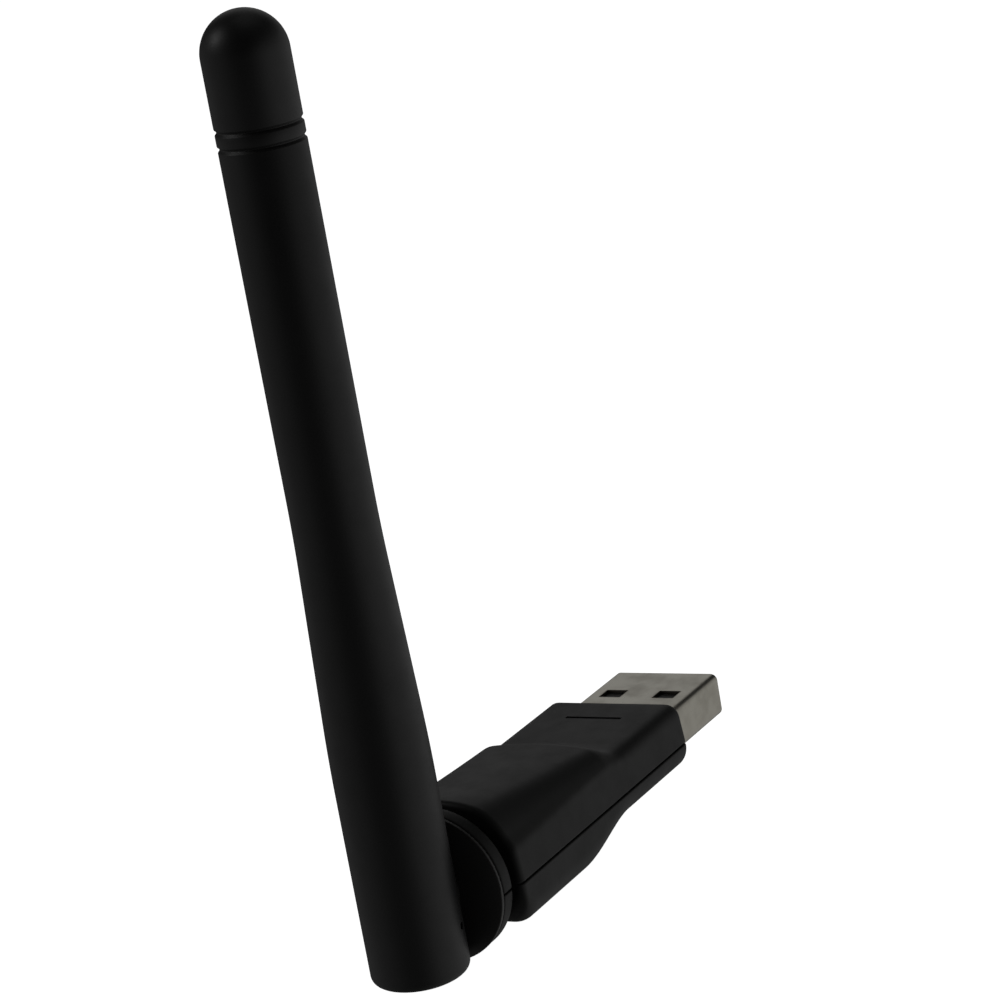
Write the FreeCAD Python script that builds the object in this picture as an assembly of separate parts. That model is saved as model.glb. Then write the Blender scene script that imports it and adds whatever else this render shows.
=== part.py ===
"""USB wireless adapter with a swivelling stick antenna.

Frame, in millimetres: the origin is the centre of the plug where it leaves the housing's front face.
+X points out of the plug's mouth, +Y to the left and +Z up, along the antenna at rest.
The antenna swivels about the X axis.
"""
import FreeCAD, Part
import math
import os

V = FreeCAD.Vector

# ---------------------------------------------------------------- plug, standard size A
PLUG_W = 12.0            # width, along Y
PLUG_H = 4.5             # height, along Z
PLUG_OUT = 11.9          # length outside the housing
PLUG_IN = 3.4            # length held inside the housing
SHEET = 0.3              # sheet thickness of the plug's steel shell
PLUG_CORNER = 0.7        # outside corner radius of the bent sheet
WINDOW_W = 2.45          # latch window, along Y
WINDOW_L = 2.0           # latch window, along X
WINDOW_FROM_TIP = 5.2    # from the mouth to the window's nearer edge
WINDOW_Y = 3.1           # window centre from the middle
FOLD_GAP = 0.1           # gap where the folded sheet meets itself
TAB_L = 1.5              # solder tabs behind the shell
TAB_H = 1.05
TAB_ROOT = 0.5           # length of a tab's root in the shell's side
TAB_BELOW = 0.2          # the tabs reach this far under the board

# ---------------------------------------------------------------- housing
HOUSE_L = 35.7           # length of the housing without its neck
HALF_W = 7.85            # half width at the parting line
SEAM_Z = -0.65           # parting plane of the two shells
PLATEAU_Z = 3.6          # flat top of the front section
SIDE_LEAN = 0.09         # the upper sides lean in by this much per millimetre of height
PLATEAU_ROUND = 1.3      # rounding along the plateau's sides
PLATEAU_UNDER = 5.0      # the front section runs on inside the hump by this much
FOOT_X = -12.2           # where the hump's front starts to rise from the plateau
CREST_X = -16.4          # where it has risen
CREST_Z = 5.4            # height of the hump at its crest
CREST_CROWN_R = 40.0     # curve of the hump across, at its crest
CREST_SHOULDER_R = 2.2   # between that curve and the side
HUMP_TOP_Z = 7.45        # top of the hump at its rear end
CROWN_R = 14.0           # curve of the hump across, at its rear end
SHOULDER_R = 3.6         # between that curve and the side
CREASE = 0.05            # the shoulders meet the sides in a soft crease of this depth
RISE_STEPS = 9           # sections through the rise, and behind it
RIDGE_STEPS = 3
HALVINGS = 60            # steps in which a shoulder's centre is closed in on
BELLY_Z = -3.3           # underside of the front section
REAR_BELLY_Z = -5.3      # underside of the rear section
BELLY_START = -12.5      # where the underside starts to drop
BELLY_END = -22.5        # where it has dropped
HEEL_R = 2.2             # rounding of the lower rear corner, from the side
BELLY_CORNER = 2.5       # lower corner radius, all along
END_ROUND = 0.6          # front and rear edges
WALL = 1.1
FLOOR_WALL = 0.95        # thinner walls over and under the plug
FRONT_WALL = 1.4
REAR_WALL = 1.2
ROOM_STEP = 3.0          # the room inside gets deeper this far behind the belly's start
ROOM_OVERLAP = 1.0       # its front and rear parts overlap by this much
ROOM_RISE = 1.0          # run of its roof up into the hump
ROOM_CORNER = 1.2        # its long corners, cut at a slant
BROW_DROP = 0.5          # its upper side corners lie this far under the crest's wall
BROW_H = 1.5
BROW_IN = 3.2            # and its roof starts this far from its sides
SUNK = 0.3               # ribs and posts run into a wall by this much
SEAM_GROOVE = 0.12       # fine groove along the parting line
SEAM_DEPTH = 0.25
SLOT_X = -4.5            # light slot across the plateau
SLOT_L = 6.4
SLOT_W = 0.5

# ---------------------------------------------------------------- swivel
NECK_R = 6.2             # shadow recess between the housing and its collar
NECK_L = 1.0
COLLAR_R = 7.35
COLLAR_L = 1.6
COLLAR_ROUND = 0.2
FLANGE_R = 7.4           # disc of the antenna's knuckle
FLANGE_T = 0.45
FLANGE_GAP = 0.15        # running gap between collar and disc
SHANK_R = 3.2
SHANK_L = 5.7            # from the collar's face to the shank's inner end
SHANK_ROOT = 0.2         # shank and disc run into each other by this much
SPIGOT_R = 2.9           # the part of the knuckle inside the antenna
SPIGOT_L = 3.7
HOLLOW_R = 1.3           # lead-through along the swivel axis
EXIT_W = 1.8             # slot where the lead turns up out of the spigot
EXIT_FROM_FACE = 1.4
RUN_FIT = 0.05           # radial clearance of every sliding or turning fit
RING_WIRE_R = 0.5        # rubber friction ring
RING_ROOM = 0.25         # left round the ring in its pocket
RING_POCKET_L = 1.1
WASHER_T = 0.4
WASHER_RIM = 0.75        # the washer stands out from the shank by this much
CLIP_T = 0.6
CLIP_RIM = 0.8           # and so does the clip
CLIP_GROOVE = 0.4        # depth of the clip's groove in the shank
CLIP_OPENING = 3.6
LUG_RISE = 0.8           # stop lug on the shank
LUG_ROOT = 0.6           # depth of its root in the shank
LUG_W = 1.6
LUG_T = 0.7
STOP_GAP = 0.15          # left between lug and rib at the end of the travel
STOP_FROM_SHANK = 0.2    # between the ribs and the shank
POCKET_GAP = 0.15        # round the washer and clip, in the housing's rear wall

# ---------------------------------------------------------------- antenna
BASE_R = 4.7             # radius of the stick's base
SEAT_FLAT = 0.35         # the knuckle's disc is let into the base by this much
STICK_R = 3.95           # radius of its upper part
ANT_BOTTOM = -6.6
BASE_TOP_Z = 15.5        # the base is straight up to here
FLARE_TOP_Z = 36.7       # and tapers into the stick up to here
CAP_Z = 72.2             # joint between sleeve and cap
ANT_TOP = 83.9
BOTTOM_ROUND = 0.8
SLEEVE_WALL = 1.05
BASE_PLUG_Z = 3.5        # the base is solid up to here, around the spigot
RING_GROOVE_Z = 73.7     # second ring groove, on the cap
GROOVE_W = 0.5
GROOVE_FLARE = 0.1       # the groove's outline runs past the surface by this much
GROOVE_D = 0.28
CAP_SPIGOT_L = 5.0
PIN_R = 0.3              # locking pin across the base
PIN_FORWARD = 1.25       # in front of the stick's axis
PIN_Z = -2.1
PIN_SUNK = 0.3
DIMPLE_R = 0.35

# ---------------------------------------------------------------- board
BOARD_TOP = -0.05
BOARD_T = 0.8
BOARD_HALF_W = 6.2
BOARD_FRONT = -3.6
BOARD_FROM_REAR = 5.3    # from the housing's rear face to the board
BOARD_NOTCH_L = 1.8      # clears the solder tabs
BOARD_NOTCH_W = 0.65
PEG_R = 0.6
PEG_FROM_FRONT = 5.2     # pegs, from the board's edges
PEG_FROM_REAR = 2.0
PEG_FROM_SIDE = 1.4
PEG_TOP = 0.7
PEG_END_ROOM = 0.3
PEG_ROOT = 0.5
BOSS_R = 1.25
SHELF_W = 0.5            # the board's sides rest on shelves by this much
SHELF_T = 1.2
RIB_T = 0.8              # ribs behind the plug's shell
RIB_HOLD = 0.5           # they reach over its ends by this much
RIB_LOW = 0.4
CONTACT_T = 0.2
CONTACT_W = 1.0
CONTACT_YS = (-3.5, -1.0, 1.0, 3.5)
CONTACT_TAIL = 1.9       # length lying on the board
OUTER_SETBACK = 1.6      # the outer pair, for power, reaches further towards the mouth
INNER_SETBACK = 2.6
TONGUE_LOW = 0.1         # underside of the tongue, which lies under the plug's top sheet
INSERT_BLOCK = 1.5       # front of the insulator's full-height block
INSERT_RECESS = 0.6      # tongue stops this far inside the mouth
INSERT_REAR = 0.3        # and starts this far in front of the shell's rear end
INSERT_GROOVE_Y = 1.2    # two grooves along the tongue's upper side
INSERT_GROOVE_W = 0.6
INSERT_GROOVE_D = 0.25
INSERT_GROOVE_END = 2.0
PLAY = 0.05              # clearance between fitted still pieces

# ---------------------------------------------------------------- antenna lead and radiator
LEAD_R = 0.565           # coaxial lead
LEAD_JOIN = 0.3          # the two leads meet on the swivel axis, this far behind the housing
LEAD_GAP = 0.1
LEAD_BEND = 3.2
PAD_IN = 5.0             # the lead's pad, from the board's rear edge
PAD_Y = -0.9
LEAD_LIFT = 0.1          # the lead rises by this much to clear the board's rear edge
LEAD_LEAVE = 0.2         # straight lengths at the board's edge and at the shank
SOLDER_L = 1.4           # bead over the pad
SOLDER_W = 2.2
SOLDER_H = 0.7
SOLDER_REAR = 0.9        # part of its length behind the pad's middle
SOLDER_ROUND = 0.3
CORE_R = 0.2             # bared core of the lead
CORE_L = 1.3
LEAD_BEND_IN = 4.4       # bend between board and swivel
BALUN_R = 2.0
BALUN_WALL = 0.25
BALUN_BOTTOM = 9.5
BALUN_TOP = 33.5
WIRE_R = 0.3
WIRE_TOP = 62.0
SPACER_L = 2.0           # spacers inside the balun and the sleeve
SPACER_STEP = 1.0
TIP_SPACER_L = 2.5
TIP_SPACER_DOWN = 0.5

# ---------------------------------------------------------------- components on the board
# Place x and y, then length along X, width and height.
WIFI_CHIP = (-17.5, 0.0, 6.0, 6.0, 0.9)
CRYSTAL = (-12.4, -2.6, 3.2, 2.5, 0.75)
INDUCTOR = (-12.6, 2.2, 3.0, 3.0, 1.4)
INDUCTOR_WELL_R = 1.0    # round well in the inductor's top
INDUCTOR_WELL_D = 0.25
CHIP_CHAMFER = 1 / 8     # of a component's smallest side
CAPACITOR = (1.0, 0.6, 0.55)
CAPACITOR_PLACES = ((-21.8, -4.0), (-21.8, -2.6), (-21.8, -1.2), (-21.8, 1.6), (-21.8, 3.0), (-21.8, 4.4),
                    (-15.2, 4.4), (-17.0, 4.4), (-18.8, 4.4), (-15.2, -4.6), (-7.2, 2.9), (-7.2, -2.9))
RESISTOR = (1.0, 0.55, 0.35)
RESISTOR_PLACES = ((-24.0, 0.6), (-24.0, 2.0), (-24.0, 3.4), (-24.0, -4.2), (-17.0, -4.6), (-18.8, -4.6))
REGULATOR_X = -9.2
REGULATOR_L = 1.6
REGULATOR_W = 2.9
REGULATOR_LOW = 0.1      # its body stands off the board
REGULATOR_H = 1.1
LEG_PITCH = 0.95
LEG_W = 0.4
LEG_T = 0.15
LEG_RISER = 0.25
LEG_OUT = 0.6            # foot, from the body's side
LEG_ROOT = 0.1
LEG_H = 0.6
LED_X = -6.6
LED_L = 0.8
LED_W = 1.6
LED_H = 0.6
GUIDE_OVER_LED = 0.1     # gap between the lamp and the light guide's foot
GUIDE_SUNK = 0.15        # the bar ends this far under the plateau
GUIDE_FOOT_T = 1.0
GUIDE_FOOT_W = 2.0
GUIDE_FOOT_PAST = 0.5    # the foot reaches past the lamp's middle by this much
GUIDE_OVERLAP = 0.2      # foot and bar run into each other by this much
GUIDE_FLANGE_T = 0.6     # flange under the plateau's wall
GUIDE_FLANGE_L = 1.2
GUIDE_FLANGE_PAST = 0.5

# ---------------------------------------------------------------- shaping
PAST = 1.0               # cutting tools run past the faces that they open by this much
FAR = 50.0               # well outside the part
TOUCH = 1e-3             # faces and edges this close are taken as touching


# ---------------------------------------------------------------- places worked out from the sizes
REAR_X = -HOUSE_L
COLLAR_FRONT = REAR_X - NECK_L
COLLAR_FACE = COLLAR_FRONT - COLLAR_L
FLANGE_FRONT = COLLAR_FACE - FLANGE_GAP
FLANGE_FACE = FLANGE_FRONT - FLANGE_T
ANT_X = FLANGE_FACE + SEAT_FLAT - BASE_R
PIN_X = ANT_X + PIN_FORWARD
INNER_WALL_X = REAR_X + REAR_WALL
SHANK_END = COLLAR_FACE + SHANK_L
SPIGOT_END = FLANGE_FACE - SPIGOT_L
EXIT_X = FLANGE_FACE - EXIT_FROM_FACE
RING_POCKET_R = SHANK_R + PLAY + 2 * RING_WIRE_R + RING_ROOM
WASHER_R = SHANK_R + WASHER_RIM
CLIP_R = SHANK_R + CLIP_RIM
CLIP_REAR = INNER_WALL_X + PLAY + WASHER_T + PLAY
LUG_R = SHANK_R + LUG_RISE
LUG_REAR = SHANK_END - LUG_T
CEILING_Z = PLATEAU_Z - FLOOR_WALL
FLOOR_Z = BELLY_Z + FLOOR_WALL
REAR_FLOOR_Z = REAR_BELLY_Z + WALL
ROOF_FRONT_Z = CREST_Z - WALL
ROOF_REAR_Z = HUMP_TOP_Z - WALL
BOARD_BOTTOM = BOARD_TOP - BOARD_T
BOARD_REAR = REAR_X + BOARD_FROM_REAR
PAD_X = BOARD_REAR + PAD_IN
LEAD_JOIN_X = REAR_X - LEAD_JOIN
PEG_PLACES = [(x, y * (BOARD_HALF_W - PEG_FROM_SIDE))
              for x in (BOARD_FRONT - PEG_FROM_FRONT, BOARD_REAR + PEG_FROM_REAR) for y in (1, -1)]


# ---------------------------------------------------------------- helpers
def box(x0, x1, y0, y1, z0, z1):
    return Part.makeBox(x1 - x0, y1 - y0, z1 - z0, V(x0, y0, z0))


def rod_x(radius, x0, x1, y=0.0, z=0.0):
    return Part.makeCylinder(radius, x1 - x0, V(x0, y, z), V(1, 0, 0))


def rod_y(radius, y0, y1, x, z):
    return Part.makeCylinder(radius, y1 - y0, V(x, y0, z), V(0, 1, 0))


def rod_z(radius, z0, z1, x=ANT_X, y=0.0):
    return Part.makeCylinder(radius, z1 - z0, V(x, y, z0), V(0, 0, 1))


def prism_y(points, half_width):
    """Closed outline of (x, z) points, extruded across Y."""
    wire = Part.makePolygon([V(x, -half_width, z) for x, z in points + points[:1]])
    return Part.Face(wire).extrude(V(0, 2 * half_width, 0))


def prism_x(points, x0, x1):
    """Closed outline of (y, z) points, extruded along X."""
    wire = Part.makePolygon([V(x0, y, z) for y, z in points + points[:1]])
    return Part.Face(wire).extrude(V(x1 - x0, 0, 0))


def spun_z(points, x):
    """Closed outline of (radius, z) points, turned about the upright axis at x."""
    wire = Part.makePolygon([V(x + r, 0, z) for r, z in points + points[:1]])
    return Part.Face(wire).revolve(V(x, 0, 0), V(0, 0, 1), 360)


def rounded_bar(x0, x1, width, height, corner):
    bar = box(x0, x1, -width / 2, width / 2, -height / 2, height / 2)
    edges = [e for e in bar.Edges if abs(e.BoundBox.XLength - (x1 - x0)) < 1e-6]
    return bar.makeFillet(corner, edges)


def rims(shape):
    """The edges of a turned piece's flat ends."""
    return [e for e in shape.Edges if e.BoundBox.XLength < TOUCH]


def fuse(first, *others):
    for other in others:
        first = first.fuse(other)
    return first.removeSplitter()


def cut(first, *others):
    for other in others:
        first = first.cut(other)
    return first


def one_solid(shape, name):
    if len(shape.Solids) != 1:
        raise ValueError(f"{name}: {len(shape.Solids)} solids")
    return shape.Solids[0]


def on_side(side, inner, outer):
    """The two Y places of a piece on the +Y or -Y side, lower one first."""
    return sorted((side * inner, side * outer))


def side_y(z):
    """Half width of the upper shell at height z."""
    return HALF_W - SIDE_LEAN * (z - SEAM_Z)


ROOM_Y = side_y(PLATEAU_Z) - WALL


def tube_along(points, radius, bend):
    """Tube along straight runs joined by tangent arcs of one radius, with its real length."""
    places = [V(*p) for p in points]
    edges = []
    start = places[0]
    for before, corner, after in zip(places, places[1:], places[2:]):
        way_in = (corner - before).normalize()
        way_out = (after - corner).normalize()
        turn = way_in.getAngle(way_out)
        reach = bend * math.tan(turn / 2)
        arc_in = corner - way_in * reach
        arc_out = corner + way_out * reach
        inward = (way_out - way_in).normalize()
        centre_reach = bend / math.cos(turn / 2)
        arc_mid = corner + inward * (centre_reach - bend)
        edges.append(Part.LineSegment(start, arc_in).toShape())
        edges.append(Part.Arc(arc_in, arc_mid, arc_out).toShape())
        start = arc_out
    edges.append(Part.LineSegment(start, places[-1]).toShape())
    path = Part.Wire(edges)
    heading = (places[1] - places[0]).normalize()
    ring = Part.Wire(Part.makeCircle(radius, places[0], heading))
    tube = path.makePipeShell([ring], True, False)
    print(f"lead {path.Length:.2f} mm long, bend radius {bend}, volume ratio "
          f"{tube.Volume / (math.pi * radius ** 2 * path.Length):.4f}")
    return tube


# ---------------------------------------------------------------- housing shells
def hump_section(x, top, crown_r, shoulder_r):
    """Closed outline across the hump: sides, rounded shoulders and a crowned top."""
    def side(z):
        return side_y(z) + CREASE

    crown_z = top - crown_r
    lean = math.atan(SIDE_LEAN)
    # The shoulder's centre lies shoulder_r inside both the side and the crown.
    low = SEAM_Z
    high = top
    for _ in range(HALVINGS):
        z = (low + high) / 2
        y = side(z) - shoulder_r / math.cos(lean)
        inside = math.hypot(y, z - crown_z) < crown_r - shoulder_r
        low, high = (z, high) if inside else (low, z)
    at_side = V(x, y + shoulder_r * math.cos(lean), z + shoulder_r * math.sin(lean))
    up = math.atan2(y, z - crown_z)
    at_crown = V(x, crown_r * math.sin(up), crown_z + crown_r * math.cos(up))
    half = (up + math.pi / 2 - lean) / 2
    middle = V(x, y + shoulder_r * math.sin(half), z + shoulder_r * math.cos(half))

    def other(p):
        return V(p.x, -p.y, p.z)

    foot = V(x, side(SEAM_Z), SEAM_Z)
    edges = [Part.LineSegment(other(foot), foot), Part.LineSegment(foot, at_side),
             Part.Arc(at_side, middle, at_crown), Part.Arc(at_crown, V(x, 0, top), other(at_crown)),
             Part.Arc(other(at_crown), other(middle), other(at_side)),
             Part.LineSegment(other(at_side), other(foot))]
    return Part.Wire([e.toShape() for e in edges])


def s_curve(x0, z0, x1, z1):
    """Two equal tangent arcs from one level to another, level at both ends."""
    run = x1 - x0
    rise = z1 - z0
    bend = (run ** 2 + rise ** 2) / (4 * abs(rise))
    sag = math.copysign(bend - math.sqrt(bend ** 2 - (run / 4) ** 2), rise)
    middle = V((x0 + x1) / 2, 0, (z0 + z1) / 2)
    first = Part.Arc(V(x0, 0, z0), V(x0 + run / 4, 0, z0 + sag), middle)
    second = Part.Arc(middle, V(x1 - run / 4, 0, z1 - sag), V(x1, 0, z1))
    return [first.toShape(), second.toShape()]


def between(a, b, share):
    return a + (b - a) * share


def hump_shape(x):
    """Top height, crown radius and shoulder radius of the hump at x."""
    if x > CREST_X:
        share = (FOOT_X - x) / (FOOT_X - CREST_X)
        eased = share ** 2 * (3 - 2 * share)
        return (between(PLATEAU_Z - CREASE, CREST_Z, eased), CREST_CROWN_R,
                between(PLATEAU_ROUND + CREASE, CREST_SHOULDER_R, eased))
    share = (CREST_X - x) / (CREST_X - REAR_X)
    curve = between(1 / CREST_CROWN_R, 1 / CROWN_R, share)
    return between(CREST_Z, HUMP_TOP_Z, share), 1 / curve, between(CREST_SHOULDER_R, SHOULDER_R, share)


def upper_outside():
    top = HUMP_TOP_Z + PAST
    rise = [FOOT_X - step * (FOOT_X - CREST_X) / RISE_STEPS for step in range(RISE_STEPS + 1)]
    ridge = [CREST_X - step * (CREST_X - REAR_X) / RIDGE_STEPS for step in range(1, RIDGE_STEPS + 1)]
    sections = [hump_section(x, *hump_shape(x)) for x in rise + ridge]
    hump = Part.makeLoft(sections, True, True)
    flank = [(-HALF_W, SEAM_Z), (HALF_W, SEAM_Z), (side_y(top), top), (-side_y(top), top)]
    hump = hump.common(prism_x(flank, REAR_X, FOOT_X))
    top_y = side_y(PLATEAU_Z)
    flank = [(-HALF_W, SEAM_Z), (HALF_W, SEAM_Z), (top_y, PLATEAU_Z), (-top_y, PLATEAU_Z)]
    block = prism_x(flank, CREST_X - PLATEAU_UNDER, 0)
    along = [e for e in block.Edges if e.BoundBox.YLength < TOUCH and e.BoundBox.ZMin > SEAM_Z + TOUCH]
    block = block.makeFillet(PLATEAU_ROUND, along)
    return fuse(block, hump)


def lower_outside():
    heel = V(REAR_X + HEEL_R, 0, REAR_BELLY_Z + HEEL_R)
    heel_mid = heel + V(-1, 0, -1).normalize() * HEEL_R
    heel_low = V(heel.x, 0, REAR_BELLY_Z)
    heel_rear = V(REAR_X, 0, heel.z)
    outline = [Part.LineSegment(V(0, 0, SEAM_Z), V(0, 0, BELLY_Z)).toShape(),
               Part.LineSegment(V(0, 0, BELLY_Z), V(BELLY_START, 0, BELLY_Z)).toShape(),
               *s_curve(BELLY_START, BELLY_Z, BELLY_END, REAR_BELLY_Z),
               Part.LineSegment(V(BELLY_END, 0, REAR_BELLY_Z), heel_low).toShape(),
               Part.Arc(heel_low, heel_mid, heel_rear).toShape(),
               Part.LineSegment(heel_rear, V(REAR_X, 0, SEAM_Z)).toShape(),
               Part.LineSegment(V(REAR_X, 0, SEAM_Z), V(0, 0, SEAM_Z)).toShape()]
    body = Part.Face(Part.Wire(outline)).extrude(V(0, 2 * HALF_W, 0))
    body.translate(V(0, -HALF_W, 0))
    low = [e for e in body.Edges if e.BoundBox.YLength < TOUCH and e.BoundBox.ZMax < heel.z + TOUCH]
    return body.makeFillet(BELLY_CORNER, low)


def round_ends(shape):
    """Rounds the outline of the front and rear end faces, except along the parting plane."""
    ends = []
    for edge in shape.Edges:
        span = edge.BoundBox
        at_end = span.XLength < TOUCH and min(abs(span.XMin), abs(span.XMin - REAR_X)) < TOUCH
        on_seam = abs(span.ZMin - SEAM_Z) < TOUCH and span.ZLength < TOUCH
        if at_end and not on_seam:
            ends.append(edge)
    return shape.makeFillet(END_ROUND, ends)


def housing_void():
    """The room inside the two shells."""
    step = BELLY_START - ROOM_STEP
    front = box(step - ROOM_OVERLAP, -FRONT_WALL, -ROOM_Y, ROOM_Y, FLOOR_Z, CEILING_Z)
    profile = [(INNER_WALL_X, REAR_FLOOR_Z + HEEL_R / 2), (INNER_WALL_X + HEEL_R / 2, REAR_FLOOR_Z),
               (BELLY_END, REAR_FLOOR_Z), (step, FLOOR_Z), (step, CEILING_Z),
               (CREST_X, CEILING_Z), (CREST_X - ROOM_RISE, ROOF_FRONT_Z), (INNER_WALL_X, ROOF_REAR_Z)]
    rear = prism_y(profile, ROOM_Y)
    brow = ROOF_FRONT_Z - BROW_DROP
    near = ROOM_Y - ROOM_CORNER
    right = [(near, REAR_FLOOR_Z), (ROOM_Y, REAR_FLOOR_Z + ROOM_CORNER), (ROOM_Y, brow - BROW_H),
             (near, brow), (ROOM_Y - BROW_IN, ROOF_REAR_Z)]
    left = [(-y, z) for y, z in reversed(right)]
    rear = rear.common(prism_x(right + left, INNER_WALL_X, BELLY_START))
    pocket = rod_x(CLIP_R + POCKET_GAP, INNER_WALL_X, SHANK_END + PAST)
    return front.fuse(rear).fuse(pocket)


def neck_and_collar():
    neck = rod_x(NECK_R, COLLAR_FRONT, INNER_WALL_X)
    collar = rod_x(COLLAR_R, COLLAR_FACE, COLLAR_FRONT)
    collar = collar.makeFillet(COLLAR_ROUND, rims(collar))
    return fuse(neck, collar)


def swivel_bore():
    bore = rod_x(SHANK_R + RUN_FIT, COLLAR_FACE - PAST, INNER_WALL_X + PAST)
    pocket = rod_x(RING_POCKET_R, COLLAR_FACE - PAST, COLLAR_FACE + RING_POCKET_L)
    return bore.fuse(pocket)


def plug_opening():
    return rounded_bar(-PLUG_IN - PLAY, PAST, PLUG_W + 2 * PLAY, PLUG_H + 2 * PLAY, PLUG_CORNER + PLAY)


def groove_round(x0, x1, half_width):
    """Groove round a box-shaped stretch, just over the parting plane."""
    z1 = SEAM_Z + SEAM_GROOVE
    ring = box(x0 - PAST, x1 + PAST, -half_width - PAST, half_width + PAST, SEAM_Z, z1)
    core_y = half_width - SEAM_DEPTH
    return ring.cut(box(x0 + SEAM_DEPTH, x1 - SEAM_DEPTH, -core_y, core_y, SEAM_Z, z1))


def seam_groove():
    """Shallow groove round the housing and its collar, in the lower edge of the upper shell."""
    ring = groove_round(REAR_X, 0, HALF_W)
    collar_y = math.sqrt(COLLAR_R ** 2 - SEAM_Z ** 2)
    tail = groove_round(COLLAR_FACE, REAR_X + SEAM_DEPTH, collar_y)
    tail = tail.cut(box(REAR_X, FAR, -FAR, FAR, -FAR, FAR))
    return ring, tail


def upper_shell():
    outside = round_ends(upper_outside())
    above = box(REAR_X - FAR, FAR, -FAR, FAR, SEAM_Z, FAR)
    shell = fuse(outside, neck_and_collar().common(above))
    shell = cut(shell, housing_void(), plug_opening(), swivel_bore(), *seam_groove())
    posts = []
    for x, y in PEG_PLACES:
        roof = CEILING_Z if x > CREST_X else CREST_Z
        posts.append(rod_z(BOSS_R, BOARD_TOP + PLAY, roof + SUNK, x, y))
    for side in (-1, 1):
        y0, y1 = on_side(side, PLUG_W / 2 - SHEET - RIB_HOLD, ROOM_Y + SUNK)
        posts.append(box(-PLUG_IN - RIB_T, -PLUG_IN - PLAY, y0, y1, RIB_LOW, CEILING_Z + SUNK))
    shell = fuse(shell, *[post.common(outside) for post in posts])
    sockets = [rod_z(PEG_R + PLAY, BOARD_TOP - PAST, PEG_TOP + PEG_END_ROOM, x, y) for x, y in PEG_PLACES]
    slot = box(SLOT_X - SLOT_W / 2, SLOT_X + SLOT_W / 2, -SLOT_L / 2, SLOT_L / 2,
               CEILING_Z - PAST, PLATEAU_Z + PAST)
    return one_solid(cut(shell, slot, *sockets), "upper_shell")


def lower_shell():
    shell = round_ends(lower_outside())
    below = box(REAR_X - FAR, FAR, -FAR, FAR, -FAR, SEAM_Z)
    shell = fuse(shell, neck_and_collar().common(below))
    shell = cut(shell, housing_void(), plug_opening(), swivel_bore())
    front_floor = FLOOR_Z - SUNK
    rear_floor = REAR_FLOOR_Z - SUNK
    posts = []
    for x, y in PEG_PLACES:
        posts.append(rod_z(BOSS_R, front_floor if x > BELLY_START else rear_floor, BOARD_BOTTOM, x, y))
        posts.append(rod_z(PEG_R, BOARD_BOTTOM - PEG_ROOT, PEG_TOP, x, y))
    stop_top = -LUG_W / 2 - STOP_GAP
    for side in (-1, 1):
        y0, y1 = on_side(side, SHANK_R + STOP_FROM_SHANK, ROOM_Y + SUNK)
        posts.append(box(LUG_REAR, SHANK_END, y0, y1, rear_floor, stop_top))
        y0, y1 = on_side(side, BOARD_HALF_W - SHELF_W, ROOM_Y + SUNK)
        posts.append(box(BELLY_START, BELLY_START + SHELF_T, y0, y1, front_floor, BOARD_BOTTOM))
        posts.append(box(BELLY_END - SHELF_T, BELLY_END, y0, y1, rear_floor, BOARD_BOTTOM))
    return one_solid(fuse(shell, *posts), "lower_shell")


# ---------------------------------------------------------------- plug
def windows(z0, z1):
    x1 = PLUG_OUT - WINDOW_FROM_TIP
    return [box(x1 - WINDOW_L, x1, y - WINDOW_W / 2, y + WINDOW_W / 2, z0, z1)
            for y in (-WINDOW_Y, WINDOW_Y)]


def plug_shell():
    outer = rounded_bar(-PLUG_IN, PLUG_OUT, PLUG_W, PLUG_H, PLUG_CORNER)
    mouth = [e for e in rims(outer) if e.BoundBox.XMin > PLUG_OUT - TOUCH]
    outer = outer.makeChamfer(SHEET / 3, mouth)
    inner = rounded_bar(-PLUG_IN - PAST, PLUG_OUT + PAST, PLUG_W - 2 * SHEET, PLUG_H - 2 * SHEET,
                        PLUG_CORNER - SHEET)
    shell = outer.cut(inner)
    fold = box(-PLUG_IN - PAST, PLUG_OUT + PAST, -FOLD_GAP / 2, FOLD_GAP / 2,
               -PLUG_H, -PLUG_H / 2 + 2 * SHEET)
    shell = cut(shell, fold, *windows(-PLUG_H, PLUG_H))
    tabs = []
    for side in (-1, 1):
        y0, y1 = on_side(side, PLUG_W / 2 - SHEET, PLUG_W / 2)
        tabs.append(box(-PLUG_IN - TAB_L, -PLUG_IN + TAB_ROOT, y0, y1,
                        BOARD_BOTTOM - TAB_BELOW, BOARD_BOTTOM + TAB_H))
    return one_solid(fuse(shell, *tabs), "plug_shell")


def contact(y, x_front):
    rear = BOARD_FRONT - CONTACT_TAIL
    strip = box(rear, x_front, y - CONTACT_W / 2, y + CONTACT_W / 2, BOARD_TOP, BOARD_TOP + CONTACT_T)
    ends = [e for e in rims(strip) if e.BoundBox.XMin > x_front - TOUCH]
    nose = [e for e in ends if e.BoundBox.ZMax < BOARD_TOP + TOUCH]
    return strip.makeChamfer(CONTACT_T / 2, nose)


def contacts():
    """Four strips; the outer ones reach further forward than the inner ones."""
    outer = (CONTACT_YS[0], CONTACT_YS[-1])
    return [contact(y, PLUG_OUT - (OUTER_SETBACK if y in outer else INNER_SETBACK)) for y in CONTACT_YS]


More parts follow.
